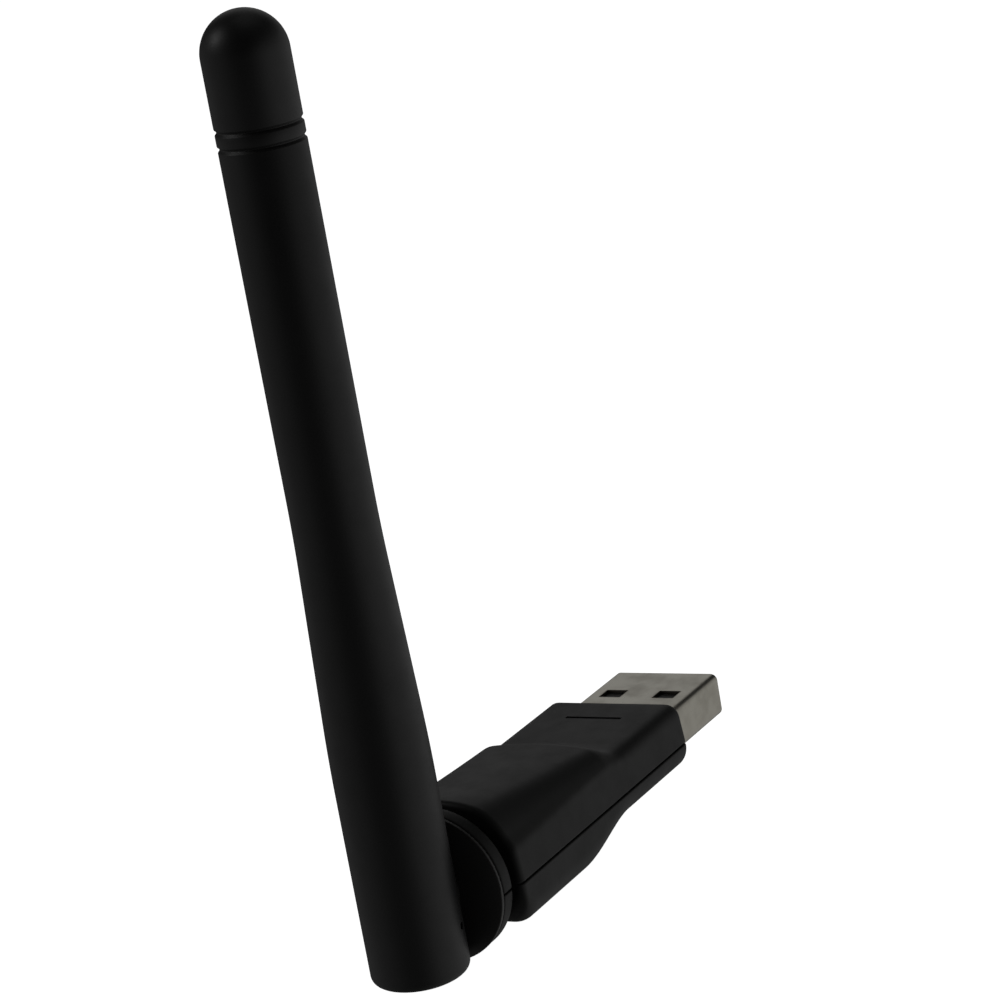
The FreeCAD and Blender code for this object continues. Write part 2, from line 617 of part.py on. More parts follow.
def plug_insulator():
    width = PLUG_W - 2 * SHEET - 2 * PLAY
    height = PLUG_H - 2 * SHEET - 2 * PLAY
    rear = -PLUG_IN + INSERT_REAR
    corner = PLUG_CORNER - SHEET
    block = rounded_bar(rear, INSERT_BLOCK, width, height, corner)
    tongue = rounded_bar(rear, PLUG_OUT - INSERT_RECESS, width, height, corner)
    tongue = tongue.cut(box(-FAR, FAR, -FAR, FAR, -FAR, TONGUE_LOW))
    half = INSERT_GROOVE_W / 2
    grooves = [box(rear + INSERT_GROOVE_END, PLUG_OUT - INSERT_GROOVE_END, y - half, y + half,
                   height / 2 - INSERT_GROOVE_D, FAR) for y in (-INSERT_GROOVE_Y, INSERT_GROOVE_Y)]
    return one_solid(cut(fuse(block, tongue), *contacts(), *grooves), "plug_insulator")


# ---------------------------------------------------------------- board and what is on it
def circuit_board():
    board = box(BOARD_REAR, BOARD_FRONT, -BOARD_HALF_W, BOARD_HALF_W, BOARD_BOTTOM, BOARD_TOP)
    notches = []
    for side in (-1, 1):
        y0, y1 = on_side(side, BOARD_HALF_W - BOARD_NOTCH_W, BOARD_HALF_W + PAST)
        notches.append(box(BOARD_FRONT - BOARD_NOTCH_L, BOARD_FRONT + PAST, y0, y1, -FAR, FAR))
    holes = [rod_z(PEG_R + PLAY, -FAR, FAR, x, y) for x, y in PEG_PLACES]
    return one_solid(cut(board, *notches, *holes), "circuit_board")


def chip_body(x, y, length, width, height):
    top_z = BOARD_TOP + height
    body = box(x - length / 2, x + length / 2, y - width / 2, y + width / 2, BOARD_TOP, top_z)
    top = [e for e in body.Edges if e.BoundBox.ZMin > top_z - TOUCH]
    return body.makeChamfer(min(length, width, height) * CHIP_CHAMFER, top)


def wifi_chip():
    return chip_body(*WIFI_CHIP)


def crystal():
    return chip_body(*CRYSTAL)


def power_inductor():
    x, y, _, _, height = INDUCTOR
    return chip_body(*INDUCTOR).cut(rod_z(INDUCTOR_WELL_R, BOARD_TOP + height - INDUCTOR_WELL_D, FAR, x, y))


def gull_leg(side, y):
    """One leg: a riser against the body's side and a foot on the board."""
    wall = REGULATOR_L / 2
    inner = wall - LEG_ROOT
    legs = []
    for reach, height in ((wall + LEG_OUT, LEG_T), (inner + LEG_RISER, LEG_H)):
        x0, x1 = on_side(side, inner, reach)
        legs.append(box(REGULATOR_X + x0, REGULATOR_X + x1, y - LEG_W / 2, y + LEG_W / 2,
                        BOARD_TOP, BOARD_TOP + height))
    return fuse(*legs)


def voltage_regulator():
    low = BOARD_TOP + REGULATOR_LOW
    body = box(REGULATOR_X - REGULATOR_L / 2, REGULATOR_X + REGULATOR_L / 2,
               -REGULATOR_W / 2, REGULATOR_W / 2, low, low + REGULATOR_H)
    legs = [gull_leg(-1, y * LEG_PITCH) for y in (-1, 0, 1)] + [gull_leg(1, y * LEG_PITCH) for y in (-1, 1)]
    return one_solid(fuse(body, *legs), "voltage_regulator")


def chip_capacitors():
    return Part.makeCompound([chip_body(x, y, *CAPACITOR) for x, y in CAPACITOR_PLACES])


def chip_resistors():
    return Part.makeCompound([chip_body(x, y, *RESISTOR) for x, y in RESISTOR_PLACES])


def status_led():
    return chip_body(LED_X, 0.0, LED_L, LED_W, LED_H)


def light_guide():
    """Clear bar in the slot, with a foot that gathers the lamp's light."""
    half_l = SLOT_L / 2 - PLAY
    half_w = SLOT_W / 2 - PLAY
    foot_low = BOARD_TOP + LED_H + GUIDE_OVER_LED
    foot_top = foot_low + GUIDE_FOOT_T
    bar = box(SLOT_X - half_w, SLOT_X + half_w, -half_l, half_l,
              foot_top - GUIDE_OVERLAP, PLATEAU_Z - GUIDE_SUNK)
    flange_l = half_l + GUIDE_FLANGE_PAST
    flange = box(SLOT_X - GUIDE_FLANGE_L / 2, SLOT_X + GUIDE_FLANGE_L / 2, -flange_l, flange_l,
                 CEILING_Z - GUIDE_FLANGE_T, CEILING_Z)
    foot = box(LED_X - GUIDE_FOOT_PAST, SLOT_X + half_w, -GUIDE_FOOT_W / 2, GUIDE_FOOT_W / 2,
               foot_low, foot_top)
    return one_solid(fuse(bar, flange, foot), "light_guide")


# ---------------------------------------------------------------- leads
def board_coax():
    lift = BOARD_TOP + LEAD_R + PLAY / 2
    route = [(PAD_X, PAD_Y, lift), (BOARD_REAR + LEAD_LEAVE, PAD_Y, lift + LEAD_LIFT),
             (SHANK_END + LEAD_LEAVE, 0.0, 0.0), (LEAD_JOIN_X + LEAD_GAP / 2, 0.0, 0.0)]
    return tube_along(route, LEAD_R, LEAD_BEND_IN)


def coax_solder():
    rear = PAD_X - SOLDER_REAR
    top_z = BOARD_TOP + SOLDER_H
    bead = box(rear, rear + SOLDER_L, PAD_Y - SOLDER_W / 2, PAD_Y + SOLDER_W / 2, BOARD_TOP, top_z)
    bead = bead.makeFillet(SOLDER_ROUND, [e for e in bead.Edges if e.BoundBox.ZMin > top_z - TOUCH])
    core = rod_x(CORE_R, PAD_X + LEAD_GAP, PAD_X + LEAD_GAP + CORE_L, PAD_Y, BOARD_TOP + LEAD_R)
    return one_solid(fuse(bead.cut(board_coax()), core), "coax_solder")


def antenna_coax():
    route = [(LEAD_JOIN_X - LEAD_GAP / 2, 0.0, 0.0), (ANT_X, 0.0, 0.0), (ANT_X, 0.0, BALUN_TOP)]
    return tube_along(route, LEAD_R, LEAD_BEND)


# ---------------------------------------------------------------- swivel
def swivel_knuckle():
    flange = rod_x(FLANGE_R, FLANGE_FACE, FLANGE_FRONT)
    flange = flange.makeFillet(FLANGE_T / 4, rims(flange))
    shank = rod_x(SHANK_R, FLANGE_FRONT - SHANK_ROOT, SHANK_END)
    spigot = rod_x(SPIGOT_R, SPIGOT_END, FLANGE_FACE)
    lug = box(LUG_REAR, SHANK_END, -LUG_W / 2, LUG_W / 2, SHANK_R - LUG_ROOT, LUG_R)
    whole = fuse(flange, shank, spigot, lug)
    bore = rod_x(HOLLOW_R, SPIGOT_END - PAST, SHANK_END + PAST)
    groove = rod_x(CLIP_R, CLIP_REAR, CLIP_REAR + CLIP_T)
    groove = groove.cut(rod_x(SHANK_R - CLIP_GROOVE, CLIP_REAR - PAST, CLIP_REAR + CLIP_T + PAST))
    exit_slot = box(SPIGOT_END - PAST, EXIT_X, -EXIT_W / 2, EXIT_W / 2, 0, SPIGOT_R + PAST)
    pin = rod_y(PIN_R + PLAY / 2, -BASE_R, BASE_R, PIN_X, PIN_Z)
    return one_solid(cut(whole, bore, groove, exit_slot, pin), "swivel_knuckle")


def friction_ring():
    mid = COLLAR_FACE + RING_POCKET_L / 2 - FLANGE_GAP / 2
    return Part.makeTorus(SHANK_R + PLAY + RING_WIRE_R, RING_WIRE_R, V(mid, 0, 0), V(1, 0, 0))


def thrust_washer():
    x0 = INNER_WALL_X + PLAY
    hole = rod_x(SHANK_R + RUN_FIT, x0 - PAST, x0 + WASHER_T + PAST)
    return rod_x(WASHER_R, x0, x0 + WASHER_T).cut(hole)


def retaining_clip():
    """Open spring clip, pushed on from below."""
    inner = SHANK_R - CLIP_GROOVE + RUN_FIT
    x0 = CLIP_REAR + RUN_FIT / 2
    x1 = CLIP_REAR + CLIP_T - RUN_FIT / 2
    clip = rod_x(CLIP_R, x0, x1).cut(rod_x(inner, x0 - PAST, x1 + PAST))
    mouth = box(x0 - PAST, x1 + PAST, -CLIP_OPENING / 2, CLIP_OPENING / 2, -CLIP_R - PAST, 0)
    return one_solid(clip.cut(mouth), "retaining_clip")


def locking_pin():
    half = math.sqrt(BASE_R ** 2 - PIN_FORWARD ** 2) - PIN_SUNK
    return rod_y(PIN_R, -half, half, PIN_X, PIN_Z)


# ---------------------------------------------------------------- antenna
def ring_groove(z, radius):
    lip = radius + GROOVE_FLARE
    half = GROOVE_W / 2 + GROOVE_FLARE
    return spun_z([(radius - GROOVE_D, z), (lip, z + half), (lip, z - half)], ANT_X)


def antenna_sleeve():
    outline = [(0, ANT_BOTTOM), (BASE_R, ANT_BOTTOM), (BASE_R, BASE_TOP_Z), (STICK_R, FLARE_TOP_Z),
               (STICK_R, CAP_Z), (0, CAP_Z)]
    sleeve = spun_z(outline, ANT_X)
    rim = [e for e in sleeve.Edges if e.BoundBox.ZMax < ANT_BOTTOM + TOUCH and e.BoundBox.XLength > BASE_R]
    sleeve = sleeve.makeFillet(BOTTOM_ROUND, rim)
    base_room = BASE_R - SLEEVE_WALL
    stick_room = STICK_R - SLEEVE_WALL
    room = [(0, BASE_PLUG_Z), (base_room, BASE_PLUG_Z), (base_room, BASE_TOP_Z), (stick_room, FLARE_TOP_Z),
            (stick_room, CAP_Z + PAST), (0, CAP_Z + PAST)]
    bore = rod_x(SPIGOT_R + PLAY, SPIGOT_END - PLAY, FLANGE_FACE + FAR)
    seat = rod_x(FLANGE_R + PAST, FLANGE_FACE, FLANGE_FACE + FAR)
    bend_room = box(ANT_X - EXIT_W / 2, EXIT_X, -EXIT_W / 2, EXIT_W / 2, -EXIT_W / 2, BASE_PLUG_Z + TOUCH)
    pin = rod_y(PIN_R + PLAY / 2, -FAR, FAR, PIN_X, PIN_Z)
    half = math.sqrt(BASE_R ** 2 - PIN_FORWARD ** 2) - PIN_SUNK
    dimples = [rod_y(DIMPLE_R, half, FAR, PIN_X, PIN_Z), rod_y(DIMPLE_R, -FAR, -half, PIN_X, PIN_Z)]
    parts = [spun_z(room, ANT_X), bore, seat, bend_room, pin, ring_groove(CAP_Z, STICK_R), *dimples]
    return one_solid(cut(sleeve, *parts), "antenna_sleeve")


def tip_cap():
    inside_r = STICK_R - SLEEVE_WALL - PLAY
    dome_z = ANT_TOP - STICK_R
    spigot_end = CAP_Z - CAP_SPIGOT_L
    body = rod_z(STICK_R, CAP_Z, dome_z)
    dome = Part.makeSphere(STICK_R, V(ANT_X, 0, dome_z))
    spigot = rod_z(inside_r, spigot_end, CAP_Z + PAST)
    whole = fuse(body, dome, spigot)
    hollow = rod_z(inside_r - SLEEVE_WALL, spigot_end - PAST, dome_z)
    roof = Part.makeSphere(inside_r - SLEEVE_WALL, V(ANT_X, 0, dome_z))
    grooves = [ring_groove(CAP_Z, STICK_R), ring_groove(RING_GROOVE_Z, STICK_R)]
    return one_solid(cut(whole, hollow, roof, *grooves), "tip_cap")


def balun_tube():
    """Brass sleeve over the lead: the lower half of the aerial."""
    tube = rod_z(BALUN_R, BALUN_BOTTOM, BALUN_TOP)
    return cut(tube, rod_z(BALUN_R - BALUN_WALL, BALUN_BOTTOM - PAST, BALUN_TOP - BALUN_WALL),
               rod_z(LEAD_R + PLAY / 2, BALUN_BOTTOM, BALUN_TOP + PAST))


def radiator_wire():
    return rod_z(WIRE_R, BALUN_TOP, WIRE_TOP)


def ring_between(inner, outer, z0, z1):
    return rod_z(outer, z0, z1).cut(rod_z(inner, z0 - PAST, z1 + PAST))


def coax_spacer():
    return ring_between(LEAD_R + PLAY, BALUN_R - BALUN_WALL - PLAY, BALUN_BOTTOM, BALUN_BOTTOM + SPACER_L)


def centering_ring():
    low = BALUN_BOTTOM + SPACER_STEP
    return ring_between(BALUN_R + PLAY, BASE_R - SLEEVE_WALL - PLAY, low, low + SPACER_L)


def tip_spacer():
    top = WIRE_TOP - TIP_SPACER_DOWN
    return ring_between(WIRE_R + PLAY, STICK_R - SLEEVE_WALL - PLAY, top - TIP_SPACER_L, top)


NODES = {
    "upper_shell": upper_shell, "lower_shell": lower_shell,
    "plug_shell": plug_shell, "plug_insulator": plug_insulator,
    "plug_contacts": lambda: Part.makeCompound(contacts()),
    "circuit_board": circuit_board, "wifi_chip": wifi_chip, "crystal": crystal,
    "voltage_regulator": voltage_regulator, "power_inductor": power_inductor,
    "chip_capacitors": chip_capacitors, "chip_resistors": chip_resistors,
    "status_led": status_led, "light_guide": light_guide,
    "board_coax": board_coax, "coax_solder": coax_solder,
    "swivel_knuckle": swivel_knuckle, "friction_ring": friction_ring,
    "thrust_washer": thrust_washer, "retaining_clip": retaining_clip, "locking_pin": locking_pin,
    "antenna_sleeve": antenna_sleeve, "tip_cap": tip_cap, "antenna_coax": antenna_coax,
    "balun_tube": balun_tube, "radiator_wire": radiator_wire, "coax_spacer": coax_spacer,
    "centering_ring": centering_ring, "tip_spacer": tip_spacer,
}

os.makedirs("parts", exist_ok=True)
for node, make in NODES.items():
    shape = make()
    if not shape.isValid():
        raise ValueError(f"{node} is not a valid solid")
    shape.exportStep(f"parts/{node}.step")
    print(f"{node}: {len(shape.Solids)} solid(s), {shape.Volume:.2f} mm3")
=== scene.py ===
"""Looks of a USB wireless adapter with a swivelling stick antenna.

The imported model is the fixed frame. This script gives each piece its finish, replaces the moulded skins by
smooth ones, and sets up a plain studio. Lengths are in metres in the model's frame: the origin is the
plug's centre at the housing's front face, +X runs out of the plug's mouth, +Y to the left and +Z up.
"""
import logging
import math
from dataclasses import dataclass
from enum import Enum
from itertools import product
from typing import Any, Callable, Iterable, Mapping, Optional, Sequence, Union

import bmesh
import bpy
import numpy as np
from mathutils import Matrix, Vector


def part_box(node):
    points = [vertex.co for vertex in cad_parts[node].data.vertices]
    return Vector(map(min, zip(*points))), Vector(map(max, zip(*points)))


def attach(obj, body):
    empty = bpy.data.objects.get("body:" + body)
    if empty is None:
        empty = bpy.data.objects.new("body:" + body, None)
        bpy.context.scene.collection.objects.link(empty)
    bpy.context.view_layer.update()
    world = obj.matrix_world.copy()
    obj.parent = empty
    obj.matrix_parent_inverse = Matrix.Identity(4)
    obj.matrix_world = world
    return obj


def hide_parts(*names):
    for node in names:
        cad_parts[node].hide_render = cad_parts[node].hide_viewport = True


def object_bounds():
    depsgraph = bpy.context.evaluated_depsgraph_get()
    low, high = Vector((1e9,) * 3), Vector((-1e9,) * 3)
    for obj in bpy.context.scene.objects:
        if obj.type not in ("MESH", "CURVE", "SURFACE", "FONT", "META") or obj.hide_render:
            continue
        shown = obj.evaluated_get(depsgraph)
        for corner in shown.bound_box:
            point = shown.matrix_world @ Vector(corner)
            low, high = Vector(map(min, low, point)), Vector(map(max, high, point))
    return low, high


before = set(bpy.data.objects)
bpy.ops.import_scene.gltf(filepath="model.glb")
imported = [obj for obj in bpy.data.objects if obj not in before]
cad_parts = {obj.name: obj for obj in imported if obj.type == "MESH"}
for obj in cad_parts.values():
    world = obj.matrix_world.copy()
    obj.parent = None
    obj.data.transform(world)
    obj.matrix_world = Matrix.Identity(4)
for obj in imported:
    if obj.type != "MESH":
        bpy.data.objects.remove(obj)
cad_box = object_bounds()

MM = 0.001
Pair = tuple[float, float]
Triple = tuple[float, float, float]
Colour = Triple
Grid = np.ndarray
Outline = Callable[[Grid, Grid], Grid]      # distance from a closed line in a section, below 0 inside
log = logging.getLogger("adapter")


# ---------------------------------------------------------------- shader maths
class Signal:
    """An output socket of a node; arithmetic on it adds Math nodes."""

    def __init__(self, bench: "Bench", socket: bpy.types.NodeSocket) -> None:
        """Wraps a socket.

        Args:
            bench: The node tree that the socket is in.
            socket: The output socket.
        """
        self.bench = bench
        self.socket = socket

    def maths(self, operation: str, *operands: "Operand") -> "Signal":
        """Adds one Math node.

        Args:
            operation: Blender's name of the operation.
            operands: Its inputs in order, signals or numbers.

        Returns:
            The result.
        """
        return self.bench.add("ShaderNodeMath", {"operation": operation}, dict(enumerate(operands)))

    def __add__(self, other: "Operand") -> "Signal":
        """This plus other."""
        return self.maths("ADD", self, other)

    def __radd__(self, other: "Operand") -> "Signal":
        """Other plus this."""
        return self.maths("ADD", other, self)

    def __sub__(self, other: "Operand") -> "Signal":
        """This minus other."""
        return self.maths("SUBTRACT", self, other)

    def __rsub__(self, other: "Operand") -> "Signal":
        """Other minus this."""
        return self.maths("SUBTRACT", other, self)

    def __mul__(self, other: "Operand") -> "Signal":
        """This times other."""
        return self.maths("MULTIPLY", self, other)

    def sine(self) -> "Signal":
        """The sine of this."""
        return self.maths("SINE", self)

    def raised(self, low: float, high: float) -> "Signal":
        """Maps low to 0 and high to 1 along a smooth curve, held at both ends.

        Args:
            low: The value that becomes 0.
            high: The value that becomes 1.

        Returns:
            The mapped signal.
        """
        return self.bench.add("ShaderNodeMapRange", {"interpolation_type": "SMOOTHSTEP"},
                              {"Value": self, "From Min": low, "From Max": high})


Operand = Union[Signal, float]


class Bench:
    """The node tree of one material or of the world, with short ways to add what the finishes use."""

    def __init__(self, tree: bpy.types.NodeTree) -> None:
        """Empties the tree.

        Args:
            tree: The node tree to build in.
        """
        self.tree = tree
        tree.nodes.clear()

    def add(self, kind: str, settings: Optional[Mapping[str, Any]] = None,
            inputs: Optional[Mapping[Union[str, int], Any]] = None,
            output: Union[str, int] = 0) -> Signal:
        """Adds a node.

        Args:
            kind: Blender's type name of the node.
            settings: Its own properties, set first.
            inputs: Values or signals by socket identifier, name or number.
            output: The output to return, by identifier, name or number.

        Returns:
            The chosen output.
        """
        node = self.tree.nodes.new(kind)
        for name, value in (settings or {}).items():
            setattr(node, name, value)
        for key, value in (inputs or {}).items():
            socket = self.find(node.inputs, key)
            if isinstance(value, Signal):
                self.tree.links.new(value.socket, socket)
            else:
                socket.default_value = value
        return Signal(self, self.find(node.outputs, output) if len(node.outputs) else None)

    @staticmethod
    def find(sockets: Iterable[bpy.types.NodeSocket], key: Union[str, int]) -> bpy.types.NodeSocket:
        """Finds a socket.

        Args:
            sockets: A node's inputs or outputs.
            key: The socket's number, identifier or name.

        Returns:
            The socket.
        """
        if isinstance(key, int):
            return sockets[key]
        by_identifier = [s for s in sockets if s.identifier == key]
        return by_identifier[0] if by_identifier else sockets[key]

    def place(self) -> Signal:
        """The point on the piece, in the model's frame."""
        return self.add("ShaderNodeTexCoord", output="Object")

    def lines(self, along: Triple, detail: float) -> Signal:
        """Noise drawn out along one axis.

        Args:
            along: Blotches to the metre along each axis.
            detail: Octaves of finer noise.

        Returns:
            The noise, 0 to 1.
        """
        scaled = self.add("ShaderNodeVectorMath", {"operation": "MULTIPLY"}, {0: self.place(), 1: along})
        return self.noise(1.0, detail, roughness=0.7, place=scaled)

    def noise(self, size: float, detail: float = 2.0, roughness: float = 0.5,
              place: Optional[Signal] = None) -> Signal:
        """Soft noise about 0.5.

        Args:
            size: Length of one blotch.
            detail: Octaves of finer noise.
            roughness: How strong each finer octave is.
            place: The point it is read at; the point on the piece if left out.

        Returns:
            The noise, 0 to 1.
        """
        return self.add("ShaderNodeTexNoise", None,
                        {"Vector": place or self.place(), "Scale": 1 / size,
                         "Detail": detail, "Roughness": roughness})

    def cells(self, size: float, feature: str = "F1") -> Signal:
        """Distance within cells of a given size, from their middles or as the feature says."""
        return self.add("ShaderNodeTexVoronoi", {"feature": feature},
                        {"Vector": self.place(), "Scale": 1 / size})

    def edges(self, radius: float) -> Signal:
        """How near the point is to a sharp outer or inner edge.

        Args:
            radius: Reach of the edge over the faces beside it.

        Returns:
            0 on the faces, rising towards 1 at an edge.
        """
        softened = self.add("ShaderNodeBevel", {"samples": 6}, {"Radius": radius})
        flat = self.add("ShaderNodeNewGeometry", output="Normal")
        return (1 - self.dot(softened, flat)).raised(0.01, 0.25)

    def dot(self, first: Any, second: Any) -> Signal:
        """The dot product of two directions."""
        return self.add("ShaderNodeVectorMath", {"operation": "DOT_PRODUCT"}, {0: first, 1: second},
                        "Value")

    def axis(self, place: Signal, name: str) -> Signal:
        """One part of a vector: X, Y or Z."""
        return self.add("ShaderNodeSeparateXYZ", None, {"Vector": place}, name)

    def blend(self, share: Operand, first: Any, second: Any) -> Signal:
        """Mixes two colours.

        Args:
            share: How much of the second.
            first: A colour or a signal.
            second: A colour or a signal.

        Returns:
            The mixed colour.
        """
        colours = [c if isinstance(c, Signal) else (*c, 1.0) for c in (first, second)]
        return self.add("ShaderNodeMix", {"data_type": "RGBA"},
                        {"Factor_Float": share, "A_Color": colours[0], "B_Color": colours[1]},
                        "Result_Color")

    def tones(self, share: Operand, colour: Colour, low: float, high: float) -> Signal:
        """Varies a colour's lightness.

        Args:
            share: 0 for the first tone, 1 for the second.
            colour: The colour.
            low: Factor for the first tone.
            high: Factor for the second.

        Returns:
            The varied colour.
        """
        return self.blend(share, tinted(colour, low), tinted(colour, high))

    def bump(self, height: Signal, depth: float) -> Signal:
        """A normal that stands for fine relief of a given real depth."""
        return self.add("ShaderNodeBump", None, {"Strength": 1.0, "Distance": depth, "Height": height})

    def finish(self, **inputs: Any) -> None:
        """Ends the tree in a Principled shader.

        Args:
            inputs: Values or signals by socket name, with _ for a blank.
        """
        named = {key.replace("_", " "): value for key, value in inputs.items()}
        shader = self.add("ShaderNodeBsdfPrincipled", None, named)
        self.add("ShaderNodeOutputMaterial", None, {"Surface": shader})


def tinted(colour: Colour, factor: float) -> Colour:
    """The colour made lighter or darker."""
    return tuple(min(1.0, c * factor) for c in colour)


# ---------------------------------------------------------------- finishes
@dataclass(frozen=True)
class Finish:
    """What a surface is made of. Each kind fills in paint(), where plain factors are shares of a layer."""

    colour: Colour
    roughness: float

    def paint(self, bench: Bench) -> None:
        """Builds the shader in an empty tree."""
        raise NotImplementedError

    def make(self, name: str) -> bpy.types.Material:
        """Makes the material.

        Args:
            name: The material's name, its slot in the record.

        Returns:
            The new material.
        """
        material = bpy.data.materials.new(name)
        material.use_nodes = True
        self.paint(Bench(material.node_tree))
        return material


@dataclass(frozen=True)
class MouldedPlastic(Finish):
    """Injection-moulded plastic with a spark-eroded grain, its edges painted lighter: partly rubbed wear,
    partly a painted highlight.
    """

    grain: float = 0.16 * MM         # size of one grain
    grain_depth: float = 0.006 * MM
    glint: float = 1.5               # painted glint: how much lighter the grain's tops are made, as if they caught the light
    cloud: float = 7 * MM            # size of the slow changes of tone
    mottle: float = 0.16             # and how far they go
    smudge: float = 2.4 * MM         # size of the marks left by fingers
    patch: float = 0.9 * MM          # size of the patches in which the edges are lightened, as wear and painted highlight
    rubbed_and_highlit: float = 1.9              # how much lighter the edges are painted: partly rubbed wear, partly a painted highlight
    edge: float = 0.22 * MM          # reach of the lightened edges, wear and painted highlight
    shine: float = 0.5               # strength of its reflections

    def paint(self, bench: Bench) -> None:
        """Builds the shader.

        Args:
            bench: The material's empty node tree.
        """
        cloud = bench.noise(self.cloud, detail=3.0)
        smudge = bench.noise(self.smudge, detail=4.0, roughness=0.62).raised(0.35, 0.75)
        grain = bench.noise(self.grain, detail=2.0, roughness=0.6)
        pits = bench.cells(self.grain * 1.7)
        # painted highlight mixed with wear: the edges are made lighter, partly standing in for light caught
        # by the rounded rims
        worn_and_highlit = bench.edges(self.edge) * bench.noise(self.patch, detail=3.0).raised(0.25, 0.7)
        tone = bench.tones(cloud, self.colour, 1 - self.mottle, 1 + self.mottle)
        # painted glint: the grain's high points are blended towards a lighter copy of the colour
        grain_glinted = bench.blend(grain.raised(0.35, 0.8) * 0.35, tone, tinted(self.colour, self.glint))
        bench.finish(
            Base_Color=bench.blend(worn_and_highlit * 0.8, grain_glinted, tinted(self.colour, self.rubbed_and_highlit)),
            Roughness=self.roughness + (cloud - 0.5) * 0.1 + smudge * 0.05 - worn_and_highlit * 0.08,
            Specular_IOR_Level=self.shine,
            Normal=bench.bump(grain * 0.6 + pits * 0.4, self.grain_depth),
        )


@dataclass(frozen=True)
class PlatedSheet(Finish):
    """Nickel-plated sheet steel with the rolling lines along the plug and fingermarks."""

    stain: Colour = (0.13, 0.10, 0.065)
    rolling: Triple = (260.0, 5200.0, 5200.0)    # rolling lines to the metre along each axis
    line_depth: float = 0.0012 * MM
    smear: float = 3.1 * MM                      # size of the fingermarks
    edge: float = 0.45 * MM                      # reach of the dull bends

    def paint(self, bench: Bench) -> None:
        """Builds the shader.

        Args:
            bench: The material's empty node tree.
        """
        rolled = bench.lines(self.rolling, detail=4.0)
        smear = bench.noise(self.smear, detail=4.0, roughness=0.6).raised(0.4, 0.75)
        edge = bench.edges(self.edge)
        tone = bench.tones(rolled, self.colour, 0.88, 1.06)
        dulled = bench.blend(smear * 0.22, tone, self.stain)
        bench.finish(
            Base_Color=bench.blend(edge * 0.8, dulled, self.stain),
            Metallic=1.0,
            Roughness=self.roughness + (rolled - 0.5) * 0.12 + smear * 0.1,
            Normal=bench.bump(rolled, self.line_depth),
        )


@dataclass(frozen=True)
class BareMetal(Finish):
    """A small metal part: drawn, plated or turned, with fine scratches and a little tarnish."""

    tarnish: Colour = (0.12, 0.09, 0.06)
    tarnished: float = 0.25                      # how much of the tarnish shows
    bloom: float = 1.3 * MM                      # size of its patches
    scratches: Triple = (900.0, 6000.0, 2200.0)  # scratches to the metre along each axis
    scratch_depth: float = 0.0008 * MM
    edge: float = 0.08 * MM                      # reach of the tarnished edges

    def paint(self, bench: Bench) -> None:
        """Builds the shader.

        Args:
            bench: The material's empty node tree.
        """
        scratches = bench.lines(self.scratches, detail=3.0)
        bloom = bench.noise(self.bloom, detail=4.0).raised(0.45, 0.8)
        edge = bench.edges(self.edge)
        tone = bench.tones(scratches, self.colour, 0.85, 1.08)
        bench.finish(
            Base_Color=bench.blend((bloom + edge * 0.5) * self.tarnished, tone, self.tarnish),
            Metallic=1.0,
            Roughness=self.roughness + (scratches - 0.5) * 0.14 + bloom * 0.12,
            Normal=bench.bump(scratches, self.scratch_depth),
        )


@dataclass(frozen=True)
class Laminate(Finish):
    """Circuit board: woven glass under solder mask, with faint tracks below it."""

    weave: float = 0.42 * MM         # from one thread of glass to the next but one
    spacing: float = 1.6 * MM        # between tracks
    track: Colour = (0.03, 0.16, 0.07)
    relief: float = 0.01 * MM
    cloud: float = 0.6 * MM          # size of the changes of gloss

    def paint(self, bench: Bench) -> None:
        """Builds the shader.

        Args:
            bench: The material's empty node tree.
        """
        place = bench.place()
        turn = 2 * math.pi / self.weave
        weave = (bench.axis(place, "X") * turn).sine() * (bench.axis(place, "Y") * turn).sine()
        tracks = bench.cells(self.spacing, "DISTANCE_TO_EDGE").raised(0.16, 0.1)
        tone = bench.tones(weave * 0.25 + 0.5, self.colour, 0.8, 1.25)
        bench.finish(
            Base_Color=bench.blend(tracks * 0.6, tone, self.track),
            Roughness=self.roughness + (bench.noise(self.cloud) - 0.5) * 0.15,
            Normal=bench.bump(weave * 0.2 + tracks, self.relief),
        )


@dataclass(frozen=True)
class SoftSkin(Finish):
    """Rubber, nylon or a lead's jacket: soft, slightly dusty, with a fine waxy unevenness."""

    dust: float = 0.12               # how much of the dust shows
    patch: float = 1.8 * MM          # size of its patches
    wax: float = 0.35 * MM           # size of the unevenness
    wax_depth: float = 0.004 * MM
    edge: float = 0.1 * MM           # reach of the paler edges

    def paint(self, bench: Bench) -> None:
        """Builds the shader.

        Args:
            bench: The material's empty node tree.
        """
        waxy = bench.noise(self.wax, detail=3.0)
        patch = bench.noise(self.patch, detail=3.0).raised(0.4, 0.8)
        edge = bench.edges(self.edge)
        bench.finish(
            Base_Color=bench.tones(patch * self.dust + edge * 0.1, self.colour, 1.0, 1.8),
            Roughness=self.roughness + (waxy - 0.5) * 0.16,
            Normal=bench.bump(waxy, self.wax_depth),
        )


@dataclass(frozen=True)
class ClearMoulding(Finish):
    """Clear or milky plastic that carries light."""

    clearness: float = 0.7
    refraction: float = 1.49
    haze: float = 0.5 * MM           # size of the milky clouds
    haze_depth: float = 0.003 * MM
    edge: float = 0.12 * MM          # reach of the darker edges

    def paint(self, bench: Bench) -> None:
        """Builds the shader.

        Args:
            bench: The material's empty node tree.
        """
        haze = bench.noise(self.haze, detail=3.0)
        edge = bench.edges(self.edge)
        bench.finish(
            Base_Color=bench.tones(haze * 0.3 + edge * 0.2, self.colour, 1.0, 0.75),
            Roughness=self.roughness + (haze - 0.5) * 0.12,
            IOR=self.refraction,
            Transmission_Weight=self.clearness,
            Normal=bench.bump(haze, self.haze_depth),
        )


